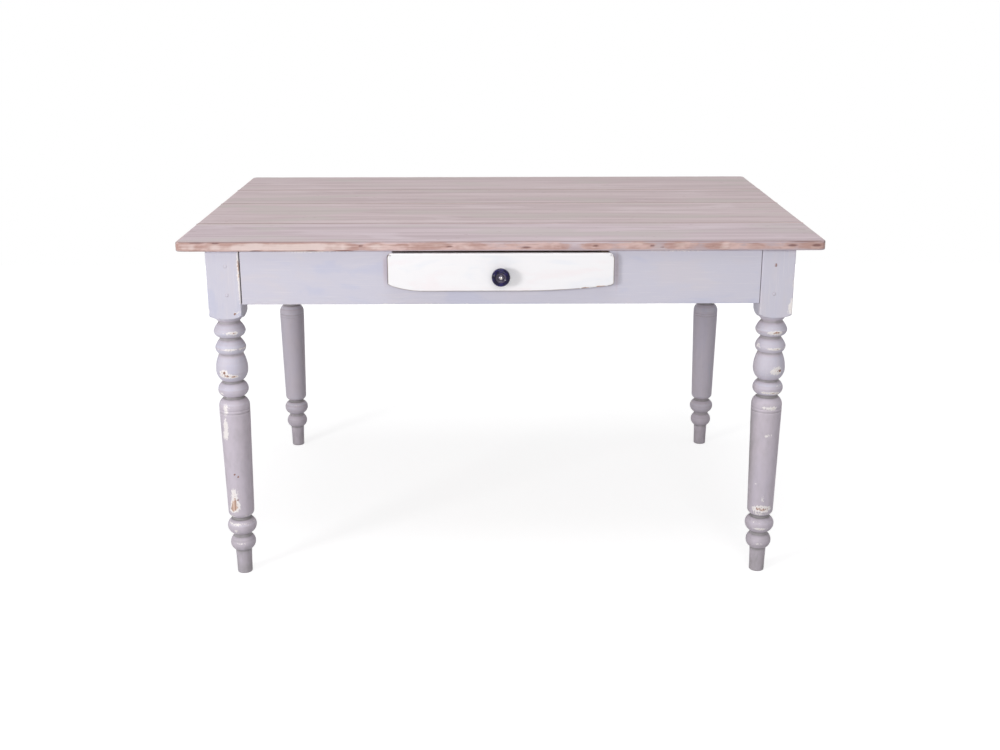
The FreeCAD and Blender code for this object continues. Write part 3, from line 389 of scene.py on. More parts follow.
@dataclass(frozen=True)
class PlanedPine(Finish):
    """Planed softwood left bare. The eye sees yellow-brown wood with darker late-wood lines."""

    grain: Grain
    early: str = "#CBAE88"
    late: str = "#A67E54"
    stain: str = "#82694C"
    rings: Pattern = Pattern(7, 300, 3, 0.7)
    fibres: Pattern = Pattern(1.2, 40, 2)  # real fibres are finer: drawn so that they show
    stains: Pattern = Pattern(70, 150, 2)
    ring_relief: float = 0.25 * MM
    fibre_relief: float = 0.12 * MM
    smooth: float = 0.6
    coarse: float = 0.8
    ior: float = 1.48

    def write(self, recipe: Recipe) -> Socket:
        """Ring lines that wander along the board, under fine fibres and old stains.

        Args:
            recipe: The tree to write in.

        Returns:
            The shader.
        """
        rings, fibres, stains = recipe.drawn_out(self.grain, self.rings, self.fibres, self.stains)
        colour = recipe.lay(self.late, Coat(rings, 0.4, 0.6, self.early),
                            Coat(fibres, 0.4, 0.7, self.late, 0.35),
                            Coat(stains, 0.48, 0.72, self.stain, 0.45))
        sheen = {"Value": rings, "To Min": self.smooth, "To Max": self.coarse}
        roughness = recipe.add(RANGE, sheen)
        return recipe.surface(colour, {"Roughness": roughness, "IOR": self.ior},
                              (rings, self.ring_relief), (fibres, self.fibre_relief))


@dataclass(frozen=True)
class CobaltGlaze(Finish):
    """Earthenware dipped in cobalt glaze, nearly black where it is thick and bluer where it thins.

    The eye sees a deep wet gloss over a dark body, with a painted grey reflection in the dish round
    the cap.
    """

    thick: str = "#0E0728"
    thin: str = "#21185A"
    painted_dish_reflection: str = "#57505F"
    clouds: Pattern = Pattern(8, 12, 3, 0.5)
    cloud_relief: float = 0.2 * MM
    roughness: float = 0.14
    ior: float = 1.3

    def write(self, recipe: Recipe) -> Socket:
        """Glaze that pools in soft clouds, with a painted grey reflection in the dish.

        Args:
            recipe: The tree to write in.

        Returns:
            The shader.
        """
        clouds, = recipe.drawn_out(Grain.Y, self.clouds)
        wear = recipe.add(MARK, {}, "Fac", attribute_name="wear")
        painted_reflection_mask = recipe.ragged(wear, (clouds, 0.8))
        colour = recipe.lay(self.thick, Coat(clouds, 0.38, 0.68, self.thin),
                            Coat(painted_reflection_mask, 0.8, 1.5, self.painted_dish_reflection, 0.85))
        return recipe.surface(colour, {"Roughness": self.roughness, "IOR": self.ior},
                              (clouds, self.cloud_relief))


@dataclass(frozen=True)
class WornMetal(Finish):
    """Turned or drawn metal. The eye sees a shine broken by shallow tool lines and dull spots."""

    bright: str
    dull: str
    lines: Pattern  # real tool lines are finer: drawn so that they show
    smooth: float
    coarse: float
    # Painted highlight colour, laid where the wear mark is set; only the cap's middle carries it.
    rubbed: str = "#E4E0DC"
    spots: Pattern = Pattern(3, 3, 4)
    line_relief: float = 0.04 * MM

    def write(self, recipe: Recipe) -> Socket:
        """Bright metal, dull spots and tool lines, and a painted highlight where the wear mark is
        set.

        Args:
            recipe: The tree to write in.

        Returns:
            The shader.
        """
        spots, lines = recipe.drawn_out(Grain.Y, self.spots, self.lines)
        wear = recipe.add(MARK, {}, "Fac", attribute_name="wear")
        colour = recipe.lay(self.bright, Coat(spots, 0.45, 0.68, self.dull),
                            Coat(wear, 0.35, 0.65, self.rubbed))
        roughness = recipe.add(RANGE, {"Value": spots, "From Min": 0.4, "From Max": 0.7,
                                       "To Min": self.smooth, "To Max": self.coarse})
        return recipe.surface(colour, {"Metallic": 1.0, "Roughness": roughness},
                              (lines, self.line_relief))


@dataclass(frozen=True)
class MattFloor(Finish):
    """Matt white board under the table. The eye sees a soft shadow that fades into white."""

    reach: float
    colour: str = "#BCBCBD"
    lift: float = 0.74

    def write(self, recipe: Recipe) -> Socket:
        """A board, and a glow that only the eye sees, fullest away from the table.

        Args:
            recipe: The tree to write in.

        Returns:
            The shader.
        """
        matt = recipe.add("ShaderNodeBsdfDiffuse", {"Color": self.colour})
        away = recipe.add(VECTOR, {0: recipe.add(PLACE, {}, "Object")}, "Value", operation="LENGTH")
        lift = recipe.add(RANGE, {"Value": away, "From Min": self.reach / 2, "From Max": self.reach,
                                  "To Min": self.lift})
        seen = recipe.add(MATH, {0: recipe.seen_share(), 1: lift}, operation="MULTIPLY")
        glow = recipe.add("ShaderNodeEmission", {"Color": "#FFFFFF", "Strength": seen})
        return recipe.add("ShaderNodeAddShader", {0: matt, 1: glow})


LIMED_COOL = LimedPine("limed_waxed_pine_sapwood")
LIMED_WARM = LimedPine("limed_waxed_pine_heartwood", body="#C5B3B6", pale="#D0C1C5",
                       dusk="#B19DA0", water_mark="#B8AFAB")
GREY = {grain: BrushedPaint(f"grey_eggshell_paint_{grain.name.lower()}", grain,
                            "#CCC9D6", "#C6C5D6", "#CFCAD4") for grain in Grain}
# On the drawer's lip this paint's grime colour also lays the painted shade line round its edges.
WHITE = BrushedPaint("white_eggshell_paint_x", Grain.X, "#F6F4F6", "#F1F1F5", "#F6F0F2",
                     undercoat="#FAF9F9", handled="#EFEBEC", grime="#97877F",
                     smooth=0.36, coarse=0.5)
PINE = {grain: PlanedPine(f"planed_pine_{grain.name.lower()}", grain) for grain in Grain}
GLAZE = CobaltGlaze("cobalt_glazed_earthenware")
NICKEL = WornMetal("polished_nickel_plate", "#BDB8B4", "#6E6664", Pattern(0.5, 6, 2), 0.12, 0.4)
TARNISHED = WornMetal("tarnished_nickel_plate", "#6C6874", "#4A4656", Pattern(0.5, 6, 2), 0.25, 0.5)
STEEL = WornMetal("zinc_plated_steel", "#A8AAAB", "#6F6E6C", Pattern(0.6, 6, 2), 0.3, 0.5)
IRON = WornMetal("oxidised_iron", "#4E4845", "#2E2927", Pattern(0.8, 6, 2), 0.5, 0.75)


# ------------------------------------ Meshes ------------------------------------
SHIFT_WAY = (1.0, 0.7, 1.3)  # slanting, so that no two pieces' patterns line up along an axis
ROUND_STEPS = 6  # faces round a corner of an outline
ARRIS_STEPS = 5  # faces over an arris
LEAST_TURN = 0.1  # the sine of a turn of the outline under which it counts as straight
STRAIGHT_SPACING = 2.5  # how much farther apart samples lie on a straight stretch than on an arc
LEAST_ARC_PARTS = 3  # faces along the shortest arc of a turned profile


def wander(points: Points, size: float, seed: float) -> Points:
    """Even noise from -1 to 1 at each point.

    Args:
        points: Places in metres, one row each.
        size: How far apart the noise's lumps lie, in metres.
        seed: Picks another stretch of the noise.

    Returns:
        One value for each point.
    """
    scaled = points / size + seed
    return np.array([noise.noise(Vector(row)) for row in scaled])


@dataclass(frozen=True)
class Uneven:
    """An amount that varies over a piece: its mean, and its shares of broad and of fine noise."""

    mean: float
    broad: float
    fine: float

    def over(self, broad: Points, fine: Points) -> Points:
        """The amount at each point, from the noise there."""
        return self.mean + self.broad * broad + self.fine * fine


@dataclass(frozen=True)
class Spot:
    """A marked place on the table, in millimetres: its middle, its reach and its strength."""

    x: float
    y: float
    z: float
    reach: tuple[float, float, float]
    strength: float = 1.0

    def on(self, points: Points) -> Points:
        """Mark points.

        Args:
            points: Places in metres, one row each.

        Returns:
            How strongly the spot marks each.
        """
        middle = np.array([self.x, self.y, self.z]) * MM
        offset = (points - middle) / (np.array(self.reach) * MM)
        return self.strength * np.exp(-(offset ** 2).sum(axis=1))


def marked(spots: Sequence[Spot], points: Points) -> Points:
    """All spots together at each point."""
    return sum((spot.on(points) for spot in spots), np.zeros(len(points)))


def tube_faces(rings: int, around: int) -> list[tuple[int, ...]]:
    """Join closed rings of points into a tube and cap both its ends.

    Args:
        rings: How many rings there are.
        around: How many points each has.

    Returns:
        The point numbers of each face.
    """
    faces: list[tuple[int, ...]] = []
    for ring in range(rings - 1):
        low, high = ring * around, (ring + 1) * around
        for step in range(around):
            after = (step + 1) % around
            faces.append((low + step, low + after, high + after, high + step))
    faces.append(tuple(reversed(range(around))))
    faces.append(tuple(range((rings - 1) * around, rings * around)))
    return faces


def put(name: str, data: bpy.types.ID) -> bpy.types.Object:
    """Make an object of its data and put it in the scene.

    Args:
        name: Its name.
        data: Its mesh, lamp or camera.

    Returns:
        The object.
    """
    made = bpy.data.objects.new(name, data)
    bpy.context.scene.collection.objects.link(made)
    return made


def make_piece(name: str, points: Points, faces: list[tuple[int, ...]],
               marks: dict[str, Points], shift: float, finish: Finish) -> bpy.types.Object:
    """Make one piece from its points and faces, with its marks and its finish.

    Args:
        name: The piece's name.
        points: Its points, in metres.
        faces: The point numbers of each face.
        marks: Values at each point for "wear", "knot" and "crease".
        shift: Moves the finish's pattern in metres, so that no two pieces match.
        finish: What covers it.

    Returns:
        The piece, not yet riding on a body.
    """
    mesh = bpy.data.meshes.new(name)
    mesh.from_pydata(points.tolist(), [], faces)
    mesh.shade_smooth()
    for mark_name, values in marks.items():
        mesh.attributes.new(mark_name, "FLOAT", "POINT").data.foreach_set("value", values)
    shifts = np.tile(np.array(SHIFT_WAY) * shift, len(points))
    mesh.attributes.new("piece_shift", "FLOAT_VECTOR", "POINT").data.foreach_set("vector", shifts)
    mesh.materials.append(finish.material())
    return put(name, mesh)


def settle(piece: bpy.types.Object, body: str, slot: str, *nodes: str) -> None:
    """Let a piece ride on its body and stand for CAD nodes.

    Args:
        piece: The piece.
        body: The body it moves with.
        slot: Not used.
        *nodes: The CAD nodes that it stands for.
    """
    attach(piece, body)
    if nodes:
        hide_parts(*nodes)
    log.info("%s: %d points on %s", piece.name, len(piece.data.vertices), body)


def dress(node: str, finish: Finish) -> None:
    """Give a CAD node, whose shape is right as it is, a finish in all its slots.

    Args:
        node: The node's name.
        finish: What covers it.
    """
    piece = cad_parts[node]
    if not piece.material_slots:
        piece.data.materials.append(finish.material())
    for place in piece.material_slots:
        place.material = finish.material()
    log.info("%s: dressed in %s", node, finish.name)


@dataclass(frozen=True)
class Corner:
    """A corner of an outline, in metres, and the radius it is rounded to."""

    across: float
    up: float
    round: float = 0.0


@dataclass
class Walk:
    """Points round an outline, with the run that each lies on, its ends and its share of it."""

    points: Points
    runs: np.ndarray
    starts: np.ndarray
    stops: np.ndarray
    shares: np.ndarray


def outline(corners: Sequence[Corner], step: float) -> Walk:
    """Walk round an outline, anticlockwise.

    Args:
        corners: Its corners in order.
        step: The longest space between two points.

    Returns:
        The walk, whose runs are numbered by the corner that they start from.
    """
    places = [np.array([corner.across, corner.up]) for corner in corners]
    count = len(corners)
    arcs: list[list[Points]] = []
    for number, corner in enumerate(corners):
        here = places[number]
        ahead = places[(number + 1) % count] - here
        behind = places[number - 1] - here
        ahead, behind = ahead / np.linalg.norm(ahead), behind / np.linalg.norm(behind)
        turn = math.acos(np.clip(-(ahead @ behind), -1, 1))
        if not corner.round:
            arcs.append([here])
            continue
        back = corner.round * math.tan(turn / 2)
        toward = (ahead + behind) / np.linalg.norm(ahead + behind)
        centre = here + toward * math.hypot(corner.round, back)
        start, end = here + behind * back - centre, here + ahead * back - centre
        arcs.append([centre + (start * math.sin((1 - share) * turn) + end * math.sin(share * turn))
                     / math.sin(turn) for share in np.linspace(0, 1, ROUND_STEPS + 1)])
    points: list[Points] = []
    rows: list[tuple[int, int, int, float]] = []
    for number, arc in enumerate(arcs):
        for part, place in enumerate(arc):
            own = number if part >= len(arc) // 2 else number - 1
            rows.append((own % count, len(points), len(points), 0.0))
            points.append(place)
        first, last = len(points) - 1, arcs[(number + 1) % count][0]
        parts = max(math.ceil(np.linalg.norm(last - points[first]) / step), 1)
        for part in range(1, parts):
            rows.append((number, first, first + parts, part / parts))
            points.append(points[first] + (last - points[first]) * part / parts)
    columns = [np.array(column) for column in zip(*rows)]
    return Walk(np.array(points), columns[0], columns[1], columns[2] % len(points), columns[3])


class Facing(Enum):
    """Where a flat member's outer face looks, as its right-hand, upward and inward directions."""

    UP = ((1, 0, 0), (0, 1, 0), (0, 0, -1))
    FRONT = ((1, 0, 0), (0, 0, 1), (0, 1, 0))
    BACK = ((-1, 0, 0), (0, 0, 1), (0, -1, 0))
    LEFT = ((0, -1, 0), (0, 0, 1), (1, 0, 0))
    RIGHT = ((0, 1, 0), (0, 0, 1), (-1, 0, 0))


@dataclass(frozen=True)
class Arris:
    """How the edges along one run of an outline are eased, in metres, how worn they are, and how
    darkened: grime, and on the drawer's lip partly painted shade.
    """

    outer: float
    inner: float
    rubbed: float
    soiled_and_shaded: float = 0.0


@dataclass(frozen=True)
class Level:
    """One ring of a flat member's section.

    inset is (share of outer arris, share of inner arris, plain metres). depth is (share of
    outer arris, share of inner arris, share of thickness). lean is the surface's direction:
    (away from the outline, out of the face).
    """

    inset: tuple[float, float, float]
    depth: tuple[float, float, float]
    lean: tuple[float, float]
    rubbed: float
    soiled_and_shaded: float = 0.0


@dataclass
class Plate:
    """A flat member cut to an outline, with worn arrises.

    The outline lies in the outer face, and the member's thickness runs inward from it.
    """

    name: str
    corners: Sequence[Corner]
    arrises: Sequence[Arris]
    facing: Facing
    face_level: float
    thickness: float
    finish: Finish
    shift: float
    step: float = 5 * MM
    margins: tuple[float, ...] = (5 * MM, 2.4 * MM, 0.8 * MM)
    wear: Sequence[Spot] = ()
    knots: Sequence[Spot] = ()
    dents: Sequence[Spot] = ()
    soil_and_shade: Sequence[Spot] = ()
    unevenness: float = 0.25 * MM
    inner_rub: float = 0.8
    # The arris darkening scaled below is grime, and on the drawer's lip partly painted shade.
    inner_soil_and_shade: float = 0.4
    edge_shares: tuple[float, ...] = (0.9, 0.7, 0.5, 0.3, 0.1)
    edge_rub: float = 0.5
    edge_soil: float = 0.45
    rub_fade: float = 1.6 * MM
    broad_noise: float = 45 * MM
    fine_noise: float = 9 * MM
    fine_seed: float = 5.0
    press_growth: float = 1.5  # how much sooner an arris is pressed in fully than rubbed through
    pressed: Uneven = Uneven(1, 1, 0.5)
    rubbed_through: Uneven = Uneven(0.72, 0.5, 0.15)

    def levels(self) -> list[Level]:
        """The section of the member's edge.

        Returns:
            Its rings, from the inner face, round the edge, to the outer face.
        """
        rings = [Level((0, 1, margin), (0, 0, 1), (0, -1), 0.0) for margin in self.margins]
        for part in range(ARRIS_STEPS + 1):
            turn = part / ARRIS_STEPS * math.pi / 2
            rings.append(Level((0, 1 - math.sin(turn), 0), (0, math.cos(turn) - 1, 1),
                               (math.sin(turn), -math.cos(turn)), self.inner_rub, self.inner_soil_and_shade))
        for share in self.edge_shares:
            rings.append(Level((0, 0, 0), (1 - share, -share, share), (1, 0), self.edge_rub,
                               self.edge_soil))
        for part in range(ARRIS_STEPS, -1, -1):
            turn = part / ARRIS_STEPS * math.pi / 2
            rings.append(Level((1 - math.sin(turn), 0, 0), (1 - math.cos(turn), 0, 0),
                               (math.sin(turn), math.cos(turn)), 1.0, math.sin(turn)))
        for margin in reversed(self.margins):
            fade = math.exp(-margin / self.rub_fade)
            rings.append(Level((1, 0, margin), (0, 0, 0), (0, 1), fade))
        return rings

    def build(self) -> bpy.types.Object:
        """Build the member, press its dents in and mark where it is rubbed.

        Returns:
            The member, not yet riding on a body.
        """
        walk = outline(self.corners, self.step)
        flat = walk.points
        ahead = np.roll(flat, -1, axis=0) - flat
        ahead /= np.linalg.norm(ahead, axis=1)[:, None]
        normal_after = np.stack([ahead[:, 1], -ahead[:, 0]], axis=1)
        normal_before = np.roll(normal_after, 1, axis=0)
        sharp = normal_before[:, 0] * normal_after[:, 1] - normal_before[:, 1] * normal_after[:, 0]
        is_sharp = np.abs(sharp) > LEAST_TURN
        divisor = np.where(is_sharp, sharp, 1.0)
        middle = normal_before + normal_after
        middle /= np.linalg.norm(middle, axis=1)[:, None]
        reach = (middle * normal_after).sum(axis=1)
        outer, inner, rubbed, soiled_and_shaded = np.array([astuple(self.arrises[run]) for run in walk.runs]).T

        right, up, inward = (np.array(direction, float) for direction in self.facing.value)
        rows, leans, rubs, soil_and_shade_rings = [], [], [], []
        for level in self.levels():
            after = level.inset[0] * outer + level.inset[1] * inner + level.inset[2]
            before = np.roll(after, 1)
            cut = np.stack([before * normal_after[:, 1] - after * normal_before[:, 1],
                            after * normal_before[:, 0] - before * normal_after[:, 0]], axis=1)
            straight = middle * ((before + after) / 2 / reach)[:, None]
            moved = flat - np.where(is_sharp[:, None], cut / divisor[:, None], straight)
            share = walk.shares[:, None]
            moved = moved[walk.starts] * (1 - share) + moved[walk.stops] * share
            depth = (level.depth[0] * outer + level.depth[1] * inner
                     + level.depth[2] * self.thickness)
            rows.append(moved[:, :1] * right + moved[:, 1:] * up + depth[:, None] * inward)
            lean = middle[:, :1] * right + middle[:, 1:] * up
            leans.append(lean * level.lean[0] - inward * level.lean[1])
            rubs.append(rubbed * level.rubbed)
            soil_and_shade_rings.append(soiled_and_shaded * level.soiled_and_shaded)
        points = np.concatenate(rows) + np.abs(inward) * self.face_level
        lean, rub = np.concatenate(leans), np.concatenate(rubs)

        broad = wander(points, self.broad_noise, self.shift)
        fine = wander(points, self.fine_noise, self.shift + self.fine_seed)
        edge = np.minimum(rub * self.press_growth, 1.0)
        push = edge * self.unevenness * self.pressed.over(broad, fine).clip(0, None)
        push += marked(self.dents, points) * MM
        points = points - lean * push[:, None]
        worn = rub * self.rubbed_through.over(broad, fine) + marked(self.wear, points)
        marks = {"wear": worn, "knot": marked(self.knots, points),
                 "grime_and_shade": np.concatenate(soil_and_shade_rings) + marked(self.soil_and_shade, points)}
        faces = tube_faces(len(rows), len(flat))
        return make_piece(self.name, points, faces, marks, self.shift, self.finish)


class Form(Enum):
    """How a stretch of a turned profile runs to its end."""

    STRAIGHT = "straight"
    SWELL = "an arc that is upright where its radius is larger"
    BEND = "an arc of a given radius that bulges outward"
    HOLLOW = "an arc of a given radius that bulges inward"


@dataclass(frozen=True)
class Stretch:
    """One stretch of a turned profile, in millimetres: how far it rises and its last radius."""

    rise: float
    radius: float
    form: Form = Form.STRAIGHT
    bend: float = 0.0


def turned_line(start: tuple[float, float], stretches: Sequence[Stretch],
                step: float) -> tuple[Points, Points]:
    """Sample a turned profile.

    Args:
        start: The height and radius that it starts from, in millimetres.
        stretches: What follows, in order.
        step: The longest space between samples on an arc, in millimetres.

    Returns:
        The heights and the radii, in metres.
    """
    line = [complex(*start)]
    for stretch in stretches:
        here = line[-1]
        there = complex(here.real + stretch.rise, stretch.radius)
        chord = there - here
        if stretch.form is Form.STRAIGHT:
            turn = 0.0
        elif stretch.form is Form.SWELL:
            turn = 2 * math.atan2(abs(chord.imag), abs(chord.real))
        else:
            turn = 2 * math.asin(min(abs(chord) / 2 / stretch.bend, 1))
        if stretch.form is Form.HOLLOW:
            turn = -turn
        spacing = step if turn else step * STRAIGHT_SPACING
        parts = max(math.ceil(abs(chord) / spacing), LEAST_ARC_PARTS if turn else 1)
        for part in range(1, parts + 1):
            share = part / parts
            if turn:
                reach = math.sin(turn * share / 2) / math.sin(turn / 2)
                lean = turn / 2 * (1 - share)
                line.append(here + chord * reach * complex(math.cos(lean), math.sin(lean)))
            else:
                line.append(here + chord * share)
    return (np.array([place.real for place in line]) * MM,
            np.array([place.imag for place in line]) * MM)


def proudness(heights: Points, radii: Points, window: float, spacing: float = 0.5 * MM,
              fall: float = 1.8) -> Points:
    """How far each place on a profile stands out of its neighbourhood, in metres.

    Args:
        heights: The profile's heights.
        radii: Its radii.
        window: How far the neighbourhood reaches.
        spacing: How far apart its samples lie.
        fall: How steeply a farther sample counts less.

    Returns:
        Above 0 on beads and below 0 in necks.
    """
    even = np.arange(heights[0], heights[-1], spacing)
    level = np.interp(even, heights, radii)
    reach = np.arange(-window, window + spacing / 2, spacing)
    weights = np.exp(-(reach / window * fall) ** 2)
    padded = np.pad(level, len(reach) // 2, mode="edge")
    calm = np.convolve(padded, weights / weights.sum(), mode="valid")[:len(level)]
    return radii - np.interp(heights, even, calm)


# ----------------------------------- The top -----------------------------------
@dataclass
class Tabletop:
    """Four limed boards, side by side, with rounded and rubbed outer edges."""

    boards: int = 4
    corner_round: float = 12 * MM
    seam_gap: float = 0.5 * MM
    margins: tuple[float, ...] = (7.5 * MM, 5 * MM, 2.8 * MM, 1.4 * MM, 0.6 * MM)
    edge_rub: float = 1.5
    first_shift: float = 3.1
    shift_step: float = 1.7
    outer: Arris = Arris(4 * MM, 3 * MM, 0.62)
    seam: Arris = Arris(0.9 * MM, 0.9 * MM, 0.1)
    end: Arris = Arris(4 * MM, 3 * MM, 0.62, 0.9)
    edge_soil: Spot = Spot(0, -448.5, 769.6, (5000, 2.8, 2.4), 0.95)
    # Painted shadow along the underside of the top's front edge.
    under_edge_painted_shadow: Spot = Spot(40, -447, 749, (330, 5, 2.4), 0.9)
    scrubbed: Spot = Spot(-470, -449, 758, (210, 6, 14), 0.52)
    # The y of the next three spots is counted from a seam.
    seam_soil: Spot = Spot(0, 0, 769.5, (5000, 5, 5), 0.7)
    left_seam_soil: Spot = Spot(-420, 0, 769.5, (420, 6, 5), 0.5)
    seam_wax: Spot = Spot(0, -3, 770, (5000, 4, 5), 0.6)
    splits: tuple[Spot, ...] = (
        Spot(-632, -448, 768, (22, 4, 2.2), 1.0), Spot(-594, -448, 767, (9, 4, 2.6), 1.0),
        Spot(-512, -449, 750, (14, 5, 2.4), 0.9), Spot(-395, -449, 750, (13, 5, 2.4), 0.9),
        Spot(-326, -449, 750, (24, 5, 2.4), 0.9), Spot(632, -448, 768, (42, 4, 2), 0.8),
    )
    knots: tuple[Spot, ...] = (
        Spot(-292, -449, 761, (5, 5, 2.6), 0.9), Spot(-107, -449, 759, (10, 5, 2.6), 0.8),
        Spot(53, -449, 757, (14, 5, 2.6), 0.95), Spot(198, -449, 760, (8, 5, 2.6), 0.9),
        Spot(316, -449, 760, (7, 5, 2.6), 0.85), Spot(337, -449, 757, (5, 5, 2.6), 0.7),
        Spot(445, -449, 760, (6, 5, 2.6), 0.5), Spot(609, -449, 760, (14, 5, 2.6), 0.95),
        Spot(660, -449, 760, (12, 5, 2.8), 1.1),
    )

    def at_seam(self, seam: float, *spots: Spot) -> tuple[Spot, ...]:
        """Spots that are counted from a seam, moved to it."""
        return tuple(replace(spot, y=spot.y + seam / MM) for spot in spots)

    def build(self) -> None:
        """Build each board from the front to the back."""
        lows = [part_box(f"tabletop_board_{number + 1}")[0] for number in range(self.boards)]
        last_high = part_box(f"tabletop_board_{self.boards}")[1]
        for number, low in enumerate(lows):
            first, last = number == 0, number == self.boards - 1
            back = last_high.y if last else lows[number + 1].y - self.seam_gap
            front_round = self.corner_round if first else 0.0
            back_round = self.corner_round if last else 0.0
            corners = [
                Corner(low.x, low.y, front_round), Corner(last_high.x, low.y, front_round),
                Corner(last_high.x, back, back_round), Corner(low.x, back, back_round),
            ]
            front_edge = self.outer if first else self.seam
            back_edge = self.outer if last else self.seam
            soil_and_shade = ((self.edge_soil, self.under_edge_painted_shadow) if first
                    else self.at_seam(low.y, self.seam_soil, self.left_seam_soil))
            wax = () if last else self.at_seam(back, self.seam_wax)
            plate = Plate(
                f"limed_board_{number + 1}", corners, [front_edge, self.end, back_edge, self.end],
                Facing.UP, last_high.z, last_high.z - low.z, LIMED_COOL if first else LIMED_WARM,
                self.first_shift + number * self.shift_step, margins=self.margins,
                wear=(*wax, self.scrubbed), knots=self.splits + self.knots, dents=self.knots,
                soil_and_shade=soil_and_shade, edge_rub=self.edge_rub,
            )
            settle(plate.build(), "table_frame", "limed_top", f"tabletop_board_{number + 1}")


# ----------------------------------- The legs -----------------------------------
FOOT = (Stretch(2, 17.6, Form.SWELL), Stretch(55, 18.4))
FOOT_TO_SHAFT = (
    Stretch(17, 28, Form.SWELL), Stretch(17, 19.8, Form.SWELL), Stretch(6, 19.8),
    Stretch(19, 32.2, Form.SWELL), Stretch(17, 19.5, Form.SWELL), Stretch(5, 19.5),
    Stretch(12, 28.6, Form.SWELL),
)
RING_GROOVE = (Stretch(1.2, 32.2), Stretch(1.2, 33.4))
SHAFT = (Stretch(235, 33.4), *RING_GROOVE, Stretch(4.6, 33.4), *RING_GROOVE, Stretch(4.6, 33.4))
SHOULDER_TO_BLOCK = (
    Stretch(19, 21.6, Form.SWELL), Stretch(4, 21.6),
    Stretch(15, 32.9, Form.SWELL), Stretch(17, 22, Form.SWELL), Stretch(3, 22),
    Stretch(25, 34.4, Form.SWELL), Stretch(35, 26.5, Form.SWELL), Stretch(3, 26.5),
    Stretch(13, 33.1, Form.SWELL), Stretch(18, 22.5, Form.BEND, 42), Stretch(5, 22.5),
    Stretch(14, 34.2, Form.SWELL), Stretch(18, 23.3, Form.BEND, 42), Stretch(3, 23.3),
    Stretch(10, 32),
)
Row = tuple[Points, Points, Points, Points]  # a ring's levels, radii, rubbing and grime


